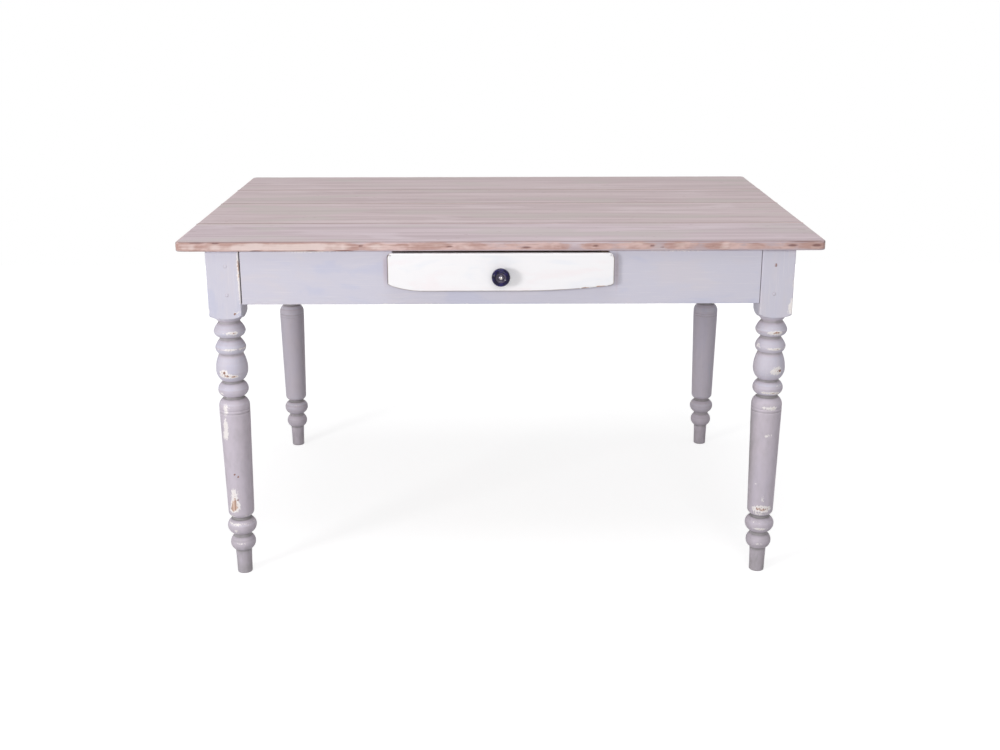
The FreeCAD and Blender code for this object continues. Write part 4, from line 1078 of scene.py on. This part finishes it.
@dataclass
class TurnedLeg:
    """A leg: a square block, a pommel shoulder, and a turned profile down to the floor."""

    name: str
    shift: float
    wear: Sequence[Spot] = ()
    knots: Sequence[Spot] = ()
    soil_and_shade: Sequence[Spot] = ()
    handled: float = 1.0

    foot_edge: float = 15.6
    foot_wear: float = 0.9 * MM
    foot_wear_height: float = 52 * MM
    foot_grime: float = 0.34
    foot_grime_height: float = 62 * MM
    step: float = 1.3
    bead_window: float = 13 * MM
    bead_rubbed_from: float = 0.6 * MM
    bead_rubbed_over: float = 0.9 * MM
    neck_depth: float = 4.5 * MM
    most_marked: float = 0.7
    handled_levels: tuple[float, float] = (380 * MM, 470 * MM)
    handled_shares: tuple[float, float] = (0.36, 0.18)
    line_width: float = 5 * MM
    line_grime: float = 0.3

    pommel_height: float = 21 * MM
    pommel_start: float = 32 * MM
    pommel_reach: float = 52.5 * MM
    pommel_shares: tuple[float, ...] = (0.18, 0.38, 0.58, 0.78, 0.93)
    pommel_rub: tuple[float, float] = (0.1, 0.4)  # everywhere, and more toward the edge
    pommel_grime: float = 0.45
    pommel_edge_wear: float = 0.35 * MM
    pommel_edge_rub: float = 0.6

    block_height: float = 127 * MM
    block_lifts: tuple[float, ...] = (0.5, 1.6, 4, 7, 10, 13, 16)
    block_plain_from: float = 18 * MM
    block_levels: int = 14
    arris: float = 2.2 * MM
    arris_unevenness: float = 0.45
    arris_lump: float = 30 * MM
    arris_rub: float = 0.55
    arris_rub_reach: float = 3.4 * MM
    corner_angles: tuple[float, ...] = (0, 0.9, 1.7, 2.6, 3.6, 5, 7.5, 11, 15.5, 20.5, 26, 31.5, 38)

    broad_noise: float = 50 * MM
    fine_noise: float = 11 * MM
    fine_seed: float = 3.0
    worn: tuple[float, float] = (0.12, 0.5)  # everywhere, and more where rubbed, in millimetres
    pressed: Uneven = Uneven(0.4, 0.6, 0.4)
    rubbed_through: Uneven = Uneven(0.6, 0.7, 0.3)

    def angles(self) -> Points:
        """Choose directions round the leg, closest together at the block's four corners.

        Returns:
            The directions, in radians.
        """
        quarter = [-angle for angle in reversed(self.corner_angles[1:])]
        quarter += [*self.corner_angles, 45]
        return np.array([math.radians(45 + 90 * side + angle) for side in range(4)
                         for angle in quarter])

    def square(self, angles: Points, half: float, arris: float) -> Points:
        """The block's radius in each direction.

        Args:
            angles: Directions in radians.
            half: Half the block's width.
            arris: The radius of its rounded arrises.

        Returns:
            A radius for each direction.
        """
        to_face = math.pi / 4 - np.abs((angles % (math.pi / 2)) - math.pi / 4)
        centre = half - arris
        toward = centre * (np.cos(to_face) + np.sin(to_face))
        inside = arris ** 2 - centre ** 2 * (1 - np.sin(2 * to_face))
        rounded = toward + np.sqrt(np.clip(inside, 0, None))
        return np.where(np.tan(to_face) > centre / half, rounded, half / np.cos(to_face))

    def handling(self, height: float) -> float:
        """How much even grime the turning holds: less above the shaft."""
        return self.handled * float(np.interp(height, self.handled_levels, self.handled_shares))

    def band(self, height: float, proud: float) -> float:
        """How much more grime a turning line on a bead holds than its neighbours."""
        line = noise.noise(Vector((height / self.line_width, self.shift, 0)))
        return self.line_grime * line * min(abs(proud) / MM, 1)

    def turning(self) -> list[Row]:
        """The rings of the turned part.

        Returns:
            The rings from the floor to the pommel.
        """
        ones = np.ones(len(self.angles()))
        line = FOOT + FOOT_TO_SHAFT + SHAFT + SHOULDER_TO_BLOCK
        heights, radii = turned_line((0, self.foot_edge), line, self.step)
        rows = []
        prouds = proudness(heights, radii, self.bead_window)
        for height, radius, proud in zip(heights, radii, prouds):
            over = (proud - self.bead_rubbed_from) / self.bead_rubbed_over
            rub = np.clip(over, 0, self.most_marked)
            grime = (self.handling(height) + np.clip(-proud / self.neck_depth, 0, self.most_marked)
                     + self.band(height, proud))
            rows.append((height * ones, radius * ones, rub * ones, grime * ones))
        return rows

    def pommel_and_block(self, half: float, high: float) -> list[Row]:
        """The rings over the turning.

        Args:
            half: Half the block's width.
            high: The level of its upper end.

        Returns:
            The rings from below.
        """
        angles = self.angles()
        ones = np.ones(len(angles))
        block_low = high - self.block_height
        start = block_low - self.pommel_height
        run = self.pommel_reach - self.pommel_start
        bend = (run ** 2 + self.pommel_height ** 2) / (2 * run)
        centre = self.pommel_reach - bend
        edge = self.square(angles, half, self.arris)
        arch = block_low - np.sqrt(bend ** 2 - (edge - centre) ** 2)
        rows = []
        for share in self.pommel_shares:
            level = start + (arch - start) * share
            radius = centre + np.sqrt(bend ** 2 - (block_low - level) ** 2)
            rub = self.pommel_rub[0] + self.pommel_rub[1] * share ** 3
            rows.append((level, radius, rub * ones, self.pommel_grime * (1 - share) * ones))
        rows.append((arch, edge - self.pommel_edge_wear, self.pommel_edge_rub * ones, 0 * ones))

        corner = np.abs((angles + math.pi / 4) % (math.pi / 2) - math.pi / 4)
        from_corner = (math.pi / 4 - corner) * edge
        on_arris = self.arris_rub * np.exp(-(from_corner / self.arris_rub_reach) ** 2)
        levels = [arch + lift * MM for lift in self.block_lifts]
        levels += [np.maximum(arch + self.block_plain_from, level)
                   for level in np.linspace(block_low, high, self.block_levels)]
        for level in levels:
            uneven = noise.noise(Vector((float(level.mean()) / self.arris_lump, self.shift, 0)))
            radius = self.square(angles, half, self.arris * (1 + self.arris_unevenness * uneven))
            rows.append((level, radius, on_arris, 0 * ones))
        return rows

    def build(self) -> bpy.types.Object:
        """Build the leg round the middle of its CAD node.

        Returns:
            The leg, not yet riding on a body.
        """
        low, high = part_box(self.name)
        middle = (low + high) / 2
        angles = self.angles()
        rows = self.turning() + self.pommel_and_block((high.x - low.x) / 2, high.z)
        z, r, rub, grime = (np.concatenate(column) for column in zip(*rows))
        turn = np.tile(angles, len(rows))
        away = np.stack([np.cos(turn), np.sin(turn), np.zeros(len(turn))], axis=1)
        points = away * r[:, None] + np.array([middle.x, middle.y, 0])
        points[:, 2] = z
        broad = wander(points, self.broad_noise, self.shift)
        fine = wander(points, self.fine_noise, self.shift + self.fine_seed)
        worn = (self.worn[0] + self.worn[1] * rub) * MM
        push = worn * self.pressed.over(broad, fine).clip(0, None)
        push += self.foot_wear * np.exp(-(points[:, 2] / self.foot_wear_height) ** 4)
        points -= away * push[:, None]
        rub = rub * self.rubbed_through.over(broad, fine) + marked(self.wear, points)
        grime += self.foot_grime * np.exp(-(points[:, 2] / self.foot_grime_height) ** 2)
        # On the front right leg these spots are painted shade down the shaft's left side.
        grime += marked(self.soil_and_shade, points)
        marks = {"wear": rub, "grime_and_shade": grime, "knot": marked(self.knots, points)}
        faces = tube_faces(len(rows), len(angles))
        return make_piece(f"painted_{self.name}", points, faces, marks, self.shift, GREY[Grain.Z])


FRONT_LEFT_RUBS = (
    Spot(-552, -440, 690, (4, 5, 60), 0.5), Spot(-562, -438, 613, (9, 9, 9), 0.6),
    Spot(-576, -436, 570, (18, 8, 4), 0.75), Spot(-578, -437, 534, (18, 8, 2.2), 0.3),
    Spot(-596, -436, 482, (14, 9, 8), 0.85), Spot(-580, -436, 473, (28, 9, 4.6), 0.9),
    Spot(-605, -428, 433, (8, 8, 3), 0.6), Spot(-600, -436, 398, (12, 8, 14), 0.68),
    Spot(-603, -434, 362, (12, 8, 20), 0.7), Spot(-605, -432, 334, (11, 8, 14), 0.68),
    Spot(-592, -434, 196, (13, 8, 26), 0.66), Spot(-594, -433, 172, (14, 8, 14), 0.72),
    Spot(-600, -431, 160, (14, 9, 9), 0.68),
    Spot(-594, -435, 111, (5, 8, 4), 0.6), Spot(-583, -432, 78, (14, 8, 3), 0.6),
)
FRONT_LEFT_HOLES = (
    Spot(-564, -438, 613, (3.4, 9, 3.4), 1.1), Spot(-596, -437, 481, (3.4, 6, 3.6), 1.0),
    Spot(-589, -436, 246, (2.8, 6, 3), 1.0), Spot(-581, -436, 241, (2.8, 6, 3), 1.0),
    Spot(-586, -434, 185, (2.8, 6, 4), 0.9), Spot(-591, -435, 110, (2.2, 6, 2.2), 0.8),
)
FRONT_RIGHT_RUBS = (
    Spot(614, -440, 624, (7, 7, 20), 0.66), Spot(590, -438, 568, (16, 8, 4), 0.65),
    Spot(555, -419, 538, (6, 8, 4), 0.6), Spot(589, -436, 530, (16, 8, 2.2), 0.45),
    Spot(596, -437, 482, (19, 10, 13), 0.8), Spot(576, -435, 432, (18, 8, 3), 0.6),
    Spot(574, -434, 397, (12, 9, 6), 0.6), Spot(593, -435, 397, (12, 9, 6), 0.75),
    Spot(586, -435, 333, (15, 8, 6), 0.6), Spot(568, -429, 218, (6, 8, 4), 0.6),
    Spot(583, -433, 184, (4, 8, 14), 0.6), Spot(579, -433, 158, (36, 14, 9), 0.95),
    Spot(579, -436, 111, (22, 9, 4), 0.8), Spot(578, -431, 73, (14, 8, 3), 0.6),
)
FRONT_RIGHT_HOLES = (
    Spot(579, -440, 716, (1.6, 4, 7), 1.0), Spot(603, -434, 482, (3.4, 6, 3.6), 1.0),
)
# Painted shade down the left side of the front right leg's shaft.
FRONT_RIGHT_PAINTED_SHADE = (Spot(552, -402, 290, (10, 30, 140), 0.4),)


@dataclass
class Legs:
    """The four legs, with the places where use has marked the front ones, and painted shade on the
    front right one.
    """

    legs: tuple[TurnedLeg, ...] = (
        TurnedLeg("leg_front_left", 11.0, wear=FRONT_LEFT_RUBS, knots=FRONT_LEFT_HOLES),
        TurnedLeg("leg_front_right", 23.0, wear=FRONT_RIGHT_RUBS, knots=FRONT_RIGHT_HOLES,
                  soil_and_shade=FRONT_RIGHT_PAINTED_SHADE),
        TurnedLeg("leg_back_left", 37.0, handled=0.65),
        TurnedLeg("leg_back_right", 49.0, handled=0.65),
    )

    def build(self) -> None:
        """Build all four."""
        for leg in self.legs:
            settle(leg.build(), "table_frame", "grey_paint", leg.name)


@dataclass
class TenonPegs:
    """Whittled peg heads, painted over, two for each joint of apron and leg."""

    radius: float = 4 * MM
    rings: tuple[tuple[float, float], ...] = (
        (1.0, -1 * MM), (0.96, 0.0), (0.6, 0.3 * MM), (0.2, 0.34 * MM))
    from_shoulder: float = 29 * MM
    levels: tuple[float, float] = (654 * MM, 716 * MM)
    sides: int = 14
    unevenness: float = 0.06
    seed_step: float = 3.7
    ring_grime: tuple[float, ...] = (0.6, 0.6, 0.0, 0.0)
    shift: float = 5.0

    def places(self) -> list[tuple[Vector, Vector]]:
        """Find where the pegs are.

        Returns:
            The middle of each head, and which way its leg's face looks.
        """
        spots = []
        for name in ("leg_front_left", "leg_front_right", "leg_back_left", "leg_back_right"):
            low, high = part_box(name)
            way_x = math.copysign(1, low.x)
            way_y = math.copysign(1, low.y)
            out_x, in_x = (low.x, high.x) if way_x < 0 else (high.x, low.x)
            out_y, in_y = (low.y, high.y) if way_y < 0 else (high.y, low.y)
            for level in self.levels:
                along_x = in_x + self.from_shoulder * way_x
                along_y = in_y + self.from_shoulder * way_y
                spots.append((Vector((along_x, out_y, level)), Vector((0, way_y, 0))))
                spots.append((Vector((out_x, along_y, level)), Vector((way_x, 0, 0))))
        return spots

    def head(self, middle: Vector, out: Vector, seed: float) -> list[Vector]:
        """Whittle one head, a low dome that is not quite round.

        Args:
            middle: The middle of its foot.
            out: Which way it looks.
            seed: Picks its unevenness.

        Returns:
            Its points, ring by ring.
        """
        upward = Vector((0, 0, 1))
        right = upward.cross(out)
        points = []
        for share, lift in self.rings:
            for side in range(self.sides):
                turn = side / self.sides * math.tau
                uneven = 1 - self.unevenness * abs(noise.noise(Vector((seed, turn, 0))))
                arm = right * math.cos(turn) + upward * math.sin(turn)
                points.append(middle + arm * self.radius * share * uneven + out * lift)
        return points

    def build(self) -> None:
        """Build all the heads as one piece."""
        points: list[Vector] = []
        faces: list[tuple[int, ...]] = []
        for number, (middle, out) in enumerate(self.places()):
            base = len(points)
            points += self.head(middle, out, number * self.seed_step)
            faces += [tuple(base + index for index in face)
                      for face in tube_faces(len(self.rings), self.sides)]
        everything = np.array([list(point) for point in points])
        grime = np.repeat(self.ring_grime, self.sides)
        marks = {"wear": np.zeros(len(points)), "knot": marked(FRONT_RIGHT_HOLES, everything),
                 "grime_and_shade": np.tile(grime, len(points) // len(grime))}
        piece = make_piece("painted_peg_heads", everything, faces, marks, self.shift, GREY[Grain.Z])
        settle(piece, "table_frame", "painted_pegs", "tenon_pegs")


# ---------------------------------- The aprons ----------------------------------
FRONT_APRON_RUBS = (
    Spot(-400, -438, 747, (90, 10, 2.5), 0.5), Spot(380, -438, 747, (90, 10, 2.5), 0.5),
)
# Painted shade on the front apron beside the drawer's lip: a soft dark halo on its left and the
# lip's shadow on its right.
FRONT_APRON_PAINTED_SHADE = (
    Spot(-243.5, -438, 710, (4.5, 8, 42), 0.4), Spot(244, -438, 707, (4.5, 8, 42), 0.5),
)


@dataclass
class Aprons:
    """Four painted rails between the legs. The front one is cut out for the drawer."""

    setback: float = 2 * MM
    thickness: float = 24 * MM
    joint_gap: float = 0.8 * MM
    opening_half: float = 228 * MM
    sill: float = 680 * MM
    lower: Arris = Arris(1.3 * MM, 1.3 * MM, 0.5)
    upper: Arris = Arris(0.8 * MM, 0.8 * MM, 0.4)
    butt_left: Arris = Arris(2 * MM, 0.7 * MM, 0.05, 3.2)
    butt_right: Arris = Arris(1.0 * MM, 0.7 * MM, 0.05, 1.5)
    front_margins: tuple[float, ...] = (
        22 * MM, 19 * MM, 16 * MM, 12 * MM, 5 * MM, 2.4 * MM, 0.8 * MM)
    front_unevenness: float = 0.12 * MM

    def build(self) -> None:
        """Build the front, the back and both ends."""
        low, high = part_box("apron_front")[0].z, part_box("apron_front")[1].z
        front_leg, back_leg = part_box("leg_front_right"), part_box("leg_back_right")
        half = front_leg[0].x - self.joint_gap
        side_level = front_leg[1].x - self.setback
        front_level = front_leg[0].y + self.setback
        back_level = back_leg[1].y - self.setback
        near, far = front_leg[1].y + self.joint_gap, back_leg[0].y - self.joint_gap

        front_outline = [
            Corner(-half, low), Corner(half, low), Corner(half, high),
            Corner(self.opening_half, high), Corner(self.opening_half, self.sill),
            Corner(-self.opening_half, self.sill), Corner(-self.opening_half, high),
            Corner(-half, high),
        ]
        front_arrises = [self.lower, self.butt_right, *[self.upper] * 5, self.butt_left]
        front = Plate("painted_apron_front", front_outline, front_arrises, Facing.FRONT,
                      front_level, self.thickness, GREY[Grain.X], shift=61.0,
                      margins=self.front_margins, wear=FRONT_APRON_RUBS, soil_and_shade=FRONT_APRON_PAINTED_SHADE,
                      unevenness=self.front_unevenness)
        settle(front.build(), "table_frame", "grey_paint", "apron_front")

        others = (
            ("apron_back", Facing.BACK, -half, half, back_level, Grain.X, 67.0),
            ("apron_left", Facing.LEFT, -far, -near, -side_level, Grain.Y, 71.0),
            ("apron_right", Facing.RIGHT, near, far, side_level, Grain.Y, 79.0),
        )
        for name, facing, start, end, level, grain, shift in others:
            corners = [Corner(start, low), Corner(end, low), Corner(end, high), Corner(start, high)]
            arrises = [self.lower, self.butt_right, self.upper, self.butt_left]
            plate = Plate(f"painted_{name}", corners, arrises, facing, level, self.thickness,
                          GREY[grain], shift)
            settle(plate.build(), "table_frame", "grey_paint", name)


@dataclass
class ShapedInCad:
    """Pieces whose CAD shapes are right as they are, and the finish of each."""

    finishes: dict[str, Finish]

    def build(self) -> None:
        """Dress each node."""
        for node, finish in self.finishes.items():
            dress(node, finish)


@dataclass
class Carcass(ShapedInCad):
    """What lies inside the frame: bare rails, runners, buttons and their screws."""

    finishes: dict[str, Finish] = field(default_factory=lambda: {
        "drawer_guide_left": PINE[Grain.Y], "drawer_guide_right": PINE[Grain.Y],
        "drawer_runner_left": PINE[Grain.Y], "drawer_runner_right": PINE[Grain.Y],
        "tabletop_buttons": PINE[Grain.X], "runner_screws": STEEL, "button_screws": STEEL,
    })


# ---------------------------------- The drawer ----------------------------------
@dataclass
class DrawerFront:
    """A thick lipped front whose lower edge sweeps up at both ends, with its block behind."""

    lip_thickness: float = 15 * MM
    sweep_rise: float = 12 * MM
    left_sweep: float = 70 * MM
    right_sweep: float = 190 * MM
    tip_length: float = 6 * MM
    tip_rise: float = 4 * MM
    left_round: float = 9 * MM
    right_round: float = 12 * MM
    sweep_parts: int = 10
    block_half: float = 215 * MM
    block_low: float = 682.3 * MM
    block_high: float = 742.3 * MM
    step: float = 4 * MM
    block_step: float = 12 * MM
    margins: tuple[float, ...] = (3.4 * MM, 1.8 * MM, 0.7 * MM)
    arris: Arris = Arris(1.6 * MM, 1.2 * MM, 0.42)
    block_arris: Arris = Arris(0.8 * MM, 0.8 * MM, 0.2)
    # The lip's darkened arrises are partly grime and partly painted contact shade: its lower sweeps
    # and right side, and its left side darker still.
    soiled_and_shaded: Arris = Arris(2.6 * MM, 1.2 * MM, 0.1, 1.5)
    stained_and_shaded: Arris = Arris(2.6 * MM, 1.2 * MM, 0.1, 2.6)
    wear: tuple[Spot, ...] = (
        Spot(177, -453, 670.5, (13, 9, 3.2), 1.25), Spot(212, -453, 674, (15, 9, 3.2), 1.25),
    )

    def sweep(self, length: float) -> list[tuple[float, float]]:
        """Draw a sweep, an arc that leaves the lower edge level.

        Args:
            length: How long it is.

        Returns:
            How far along and how high each of its points lies.
        """
        bend = (length ** 2 + self.sweep_rise ** 2) / (2 * self.sweep_rise)
        runs = [length * part / self.sweep_parts for part in range(self.sweep_parts + 1)]
        return [(run, bend - math.sqrt(bend ** 2 - run ** 2)) for run in runs]

    def build(self) -> None:
        """Build the lipped front and the block behind it."""
        low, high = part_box("drawer_front")
        sweep_end = high.x - self.tip_length
        tip = low.z + self.sweep_rise + self.tip_rise
        right = [Corner(sweep_end - self.right_sweep + run, low.z + rise)
                 for run, rise in self.sweep(self.right_sweep)]
        left = [Corner(self.left_sweep - sweep_end - run, low.z + rise)
                for run, rise in reversed(self.sweep(self.left_sweep))]
        corners = [
            *right, Corner(high.x, tip), Corner(high.x, high.z, self.right_round),
            Corner(low.x, high.z, self.left_round), Corner(low.x, tip), *left,
        ]
        arrises = [*[self.soiled_and_shaded] * (len(right) + 1), self.arris, self.stained_and_shaded,
                   *[self.soiled_and_shaded] * (len(left) + 1)]
        lip = Plate("painted_drawer_front", corners, arrises, Facing.FRONT, low.y,
                    self.lip_thickness, WHITE, shift=83.0, step=self.step,
                    margins=self.margins, wear=self.wear)
        settle(lip.build(), "drawer", "white_paint", "drawer_front")

        half, sill, head = self.block_half, self.block_low, self.block_high
        block = [Corner(-half, sill), Corner(half, sill), Corner(half, head), Corner(-half, head)]
        back = low.y + self.lip_thickness
        backing = Plate("drawer_front_block", block, [self.block_arris] * len(block), Facing.FRONT,
                        back, high.y - back, PINE[Grain.X], shift=89.0, step=self.block_step)
        settle(backing.build(), "drawer", "drawer_softwood", "drawer_front")


@dataclass
class DrawerBox(ShapedInCad):
    """The drawer's plain box and its nails."""

    finishes: dict[str, Finish] = field(default_factory=lambda: {
        "drawer_side_left": PINE[Grain.Y], "drawer_side_right": PINE[Grain.Y],
        "drawer_back": PINE[Grain.X], "drawer_bottom": PINE[Grain.X], "drawer_nails": IRON,
        "knob_washer": STEEL, "knob_nut": STEEL,
    })


@dataclass(frozen=True)
class Turning:
    """A part of the knob, turned about its axis.

    start is the height over the drawer's face and the radius that its profile starts from, in
    millimetres. rubbed is the radius, in metres, within which the wear mark is set: on the knob
    that lays a painted reflection in its dish, on the cap a painted highlight.
    """

    name: str
    start: tuple[float, float]
    profile: tuple[Stretch, ...]
    finish: Finish
    slot: str
    nodes: tuple[str, ...] = ()
    rubbed: float = 0.0


@dataclass
class Knob:
    """A glazed knob on a metal collar, held by a bolt with a domed cap."""

    axis_x: float = 0.0
    axis_z: float = 698 * MM
    turnings: tuple[Turning, ...] = (
        Turning("nickel_collar", (0, 2.6), (
            Stretch(0, 10.5), Stretch(1.6, 10.5), Stretch(1.4, 9.3, Form.SWELL), Stretch(0, 2.6),
        ), NICKEL, "plated_brass", ("knob_collar",)),
        # Within its rubbed radius the glaze takes a painted grey reflection.
        Turning("cobalt_knob", (3, 2.6), (
            Stretch(0, 10), Stretch(3, 8.5), Stretch(9, 19.3, Form.BEND, 11), Stretch(4, 19.3),
            Stretch(7, 12.9, Form.SWELL), Stretch(-0.3, 12, Form.BEND, 1.2),
            Stretch(-2.7, 6.6, Form.HOLLOW, 14), Stretch(0, 2.6),
        ), GLAZE, "glazed_ceramic", ("knob_body",), rubbed=11 * MM),
        # Within its rubbed radius the cap takes a painted highlight.
        Turning("nickel_cap", (22.9, 2.4), (
            Stretch(0, 6.4), Stretch(1.0, 6.4), Stretch(3, 0.15, Form.BEND, 8.1),
        ), TARNISHED, "plated_brass", rubbed=2.7 * MM),
    )
    step: float = 0.5
    around: int = 72
    shift: float = 97.0

    def turned(self, part: Turning) -> bpy.types.Object:
        """Turn a part about the knob's axis, outward from the drawer's face.

        Args:
            part: The part.

        Returns:
            Its piece, not yet riding on a body.
        """
        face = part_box("drawer_front")[0].y
        heights, radii = turned_line(part.start, part.profile, self.step)
        turns = np.arange(self.around) / self.around * math.tau
        x = self.axis_x + radii[:, None] * np.cos(turns)
        z = self.axis_z + radii[:, None] * np.sin(turns)
        y = np.repeat(face - heights[:, None], self.around, axis=1)
        points = np.stack([x, y, z], axis=2).reshape(-1, 3)
        nothing = np.zeros(len(points))
        middle = np.repeat(np.clip((part.rubbed - radii) / MM + 0.5, 0, 1), self.around)
        marks = {"wear": middle, "knot": nothing, "grime_and_shade": nothing}
        faces = tube_faces(len(heights), self.around)
        return make_piece(part.name, points, faces, marks, self.shift, part.finish)

    def build(self) -> None:
        """Build the collar, the knob and the cap, and dress the bolt."""
        for part in self.turnings:
            settle(self.turned(part), "drawer", part.slot, *part.nodes)
        dress("knob_bolt", NICKEL)


# ---------------------------------- The studio ----------------------------------
@dataclass(frozen=True)
class SoftLamp:
    """A square soft box of white light that faces the table from a direction, in degrees."""

    name: str
    azimuth: float
    elevation: float
    distance: float
    size: float
    power: float


@dataclass
class Studio:
    """A pale floor under plain soft light, and the camera."""

    target: tuple[float, float, float] = (0.0, 0.0, 0.45)
    floor_reach: float = 2.9
    ambient: float = 0.34
    lamps: tuple[SoftLamp, ...] = (
        SoftLamp("key", -45, 10, 4.6, 0.9, 74),
        SoftLamp("front", 6, 18, 4.4, 2.0, 45),
        SoftLamp("overhead", -10, 78, 3.4, 2.6, 54),
    )
    camera_place: tuple[float, float, float] = (-17.0 * MM, -3076.95 * MM, 1284.6 * MM)
    camera_down: float = 17.045
    camera_yaw: float = 0.325
    camera_roll: float = -0.082
    lens: float = 46.05

    def build_floor(self) -> None:
        """Lay a floor that takes the table's shadow and fades into the white background."""
        reach = self.floor_reach
        corners = [(-reach, -reach, 0), (reach, -reach, 0), (reach, reach, 0), (-reach, reach, 0)]
        mesh = bpy.data.meshes.new("studio_floor")
        mesh.from_pydata(corners, [], [(0, 1, 2, 3)])
        mesh.materials.append(MattFloor("matt_white_floor", reach).material())
        put("studio_floor", mesh)

    def build_world(self) -> None:
        """Even light from all round, and a white background behind the table."""
        world = bpy.data.worlds.new("studio_world")
        bpy.context.scene.world = world
        world.use_nodes = True
        world.node_tree.nodes.clear()
        recipe = Recipe(world.node_tree)
        soft = recipe.add("ShaderNodeBackground", {"Color": "#FFFFFF", "Strength": self.ambient})
        white = recipe.add("ShaderNodeBackground", {"Color": "#FFFFFF", "Strength": 1.0})
        mixed = recipe.add("ShaderNodeMixShader", {0: recipe.seen_share(), 1: soft, 2: white})
        recipe.add("ShaderNodeOutputWorld", {"Surface": mixed}, None)

    def build_lamps(self) -> None:
        """Place each soft box and turn it to the table."""
        for lamp in self.lamps:
            side, lift = math.radians(lamp.azimuth), math.radians(lamp.elevation)
            out = Vector((math.sin(side) * math.cos(lift), -math.cos(side) * math.cos(lift),
                          math.sin(lift)))
            data = bpy.data.lights.new(lamp.name, "AREA")
            data.shape, data.size, data.energy = "SQUARE", lamp.size, lamp.power
            light = put(lamp.name, data)
            light.location = Vector(self.target) + out * lamp.distance
            light.rotation_euler = out.to_track_quat("Z", "Y").to_euler()

    def build_camera(self) -> None:
        """Stand the camera in front of the table, looking a little down."""
        data = bpy.data.cameras.new("camera")
        data.lens = self.lens
        camera = put("camera", data)
        turn = (Matrix.Rotation(math.radians(-self.camera_yaw), 4, "Z")
                @ Matrix.Rotation(math.radians(90 - self.camera_down), 4, "X")
                @ Matrix.Rotation(math.radians(self.camera_roll), 4, "Z"))
        camera.matrix_world = Matrix.Translation(self.camera_place) @ turn
        bpy.context.scene.camera = camera

    def build(self) -> None:
        """Build everything that is not the table."""
        bpy.context.scene.view_settings.view_transform = "Standard"
        self.build_floor()
        self.build_world()
        self.build_lamps()
        self.build_camera()
        log.info("studio: floor, world, %d lamps, camera", len(self.lamps))


def main() -> None:
    """Build the table's sub-assemblies in order, then the studio."""
    logging.basicConfig(level=logging.INFO, format="%(name)s: %(message)s")
    for part in (Tabletop(), Legs(), TenonPegs(), Aprons(), Carcass(), DrawerFront(), DrawerBox(),
                 Knob(), Studio()):
        log.info("building %s", type(part).__name__)
        part.build()


if __name__ == "__main__":
    main()
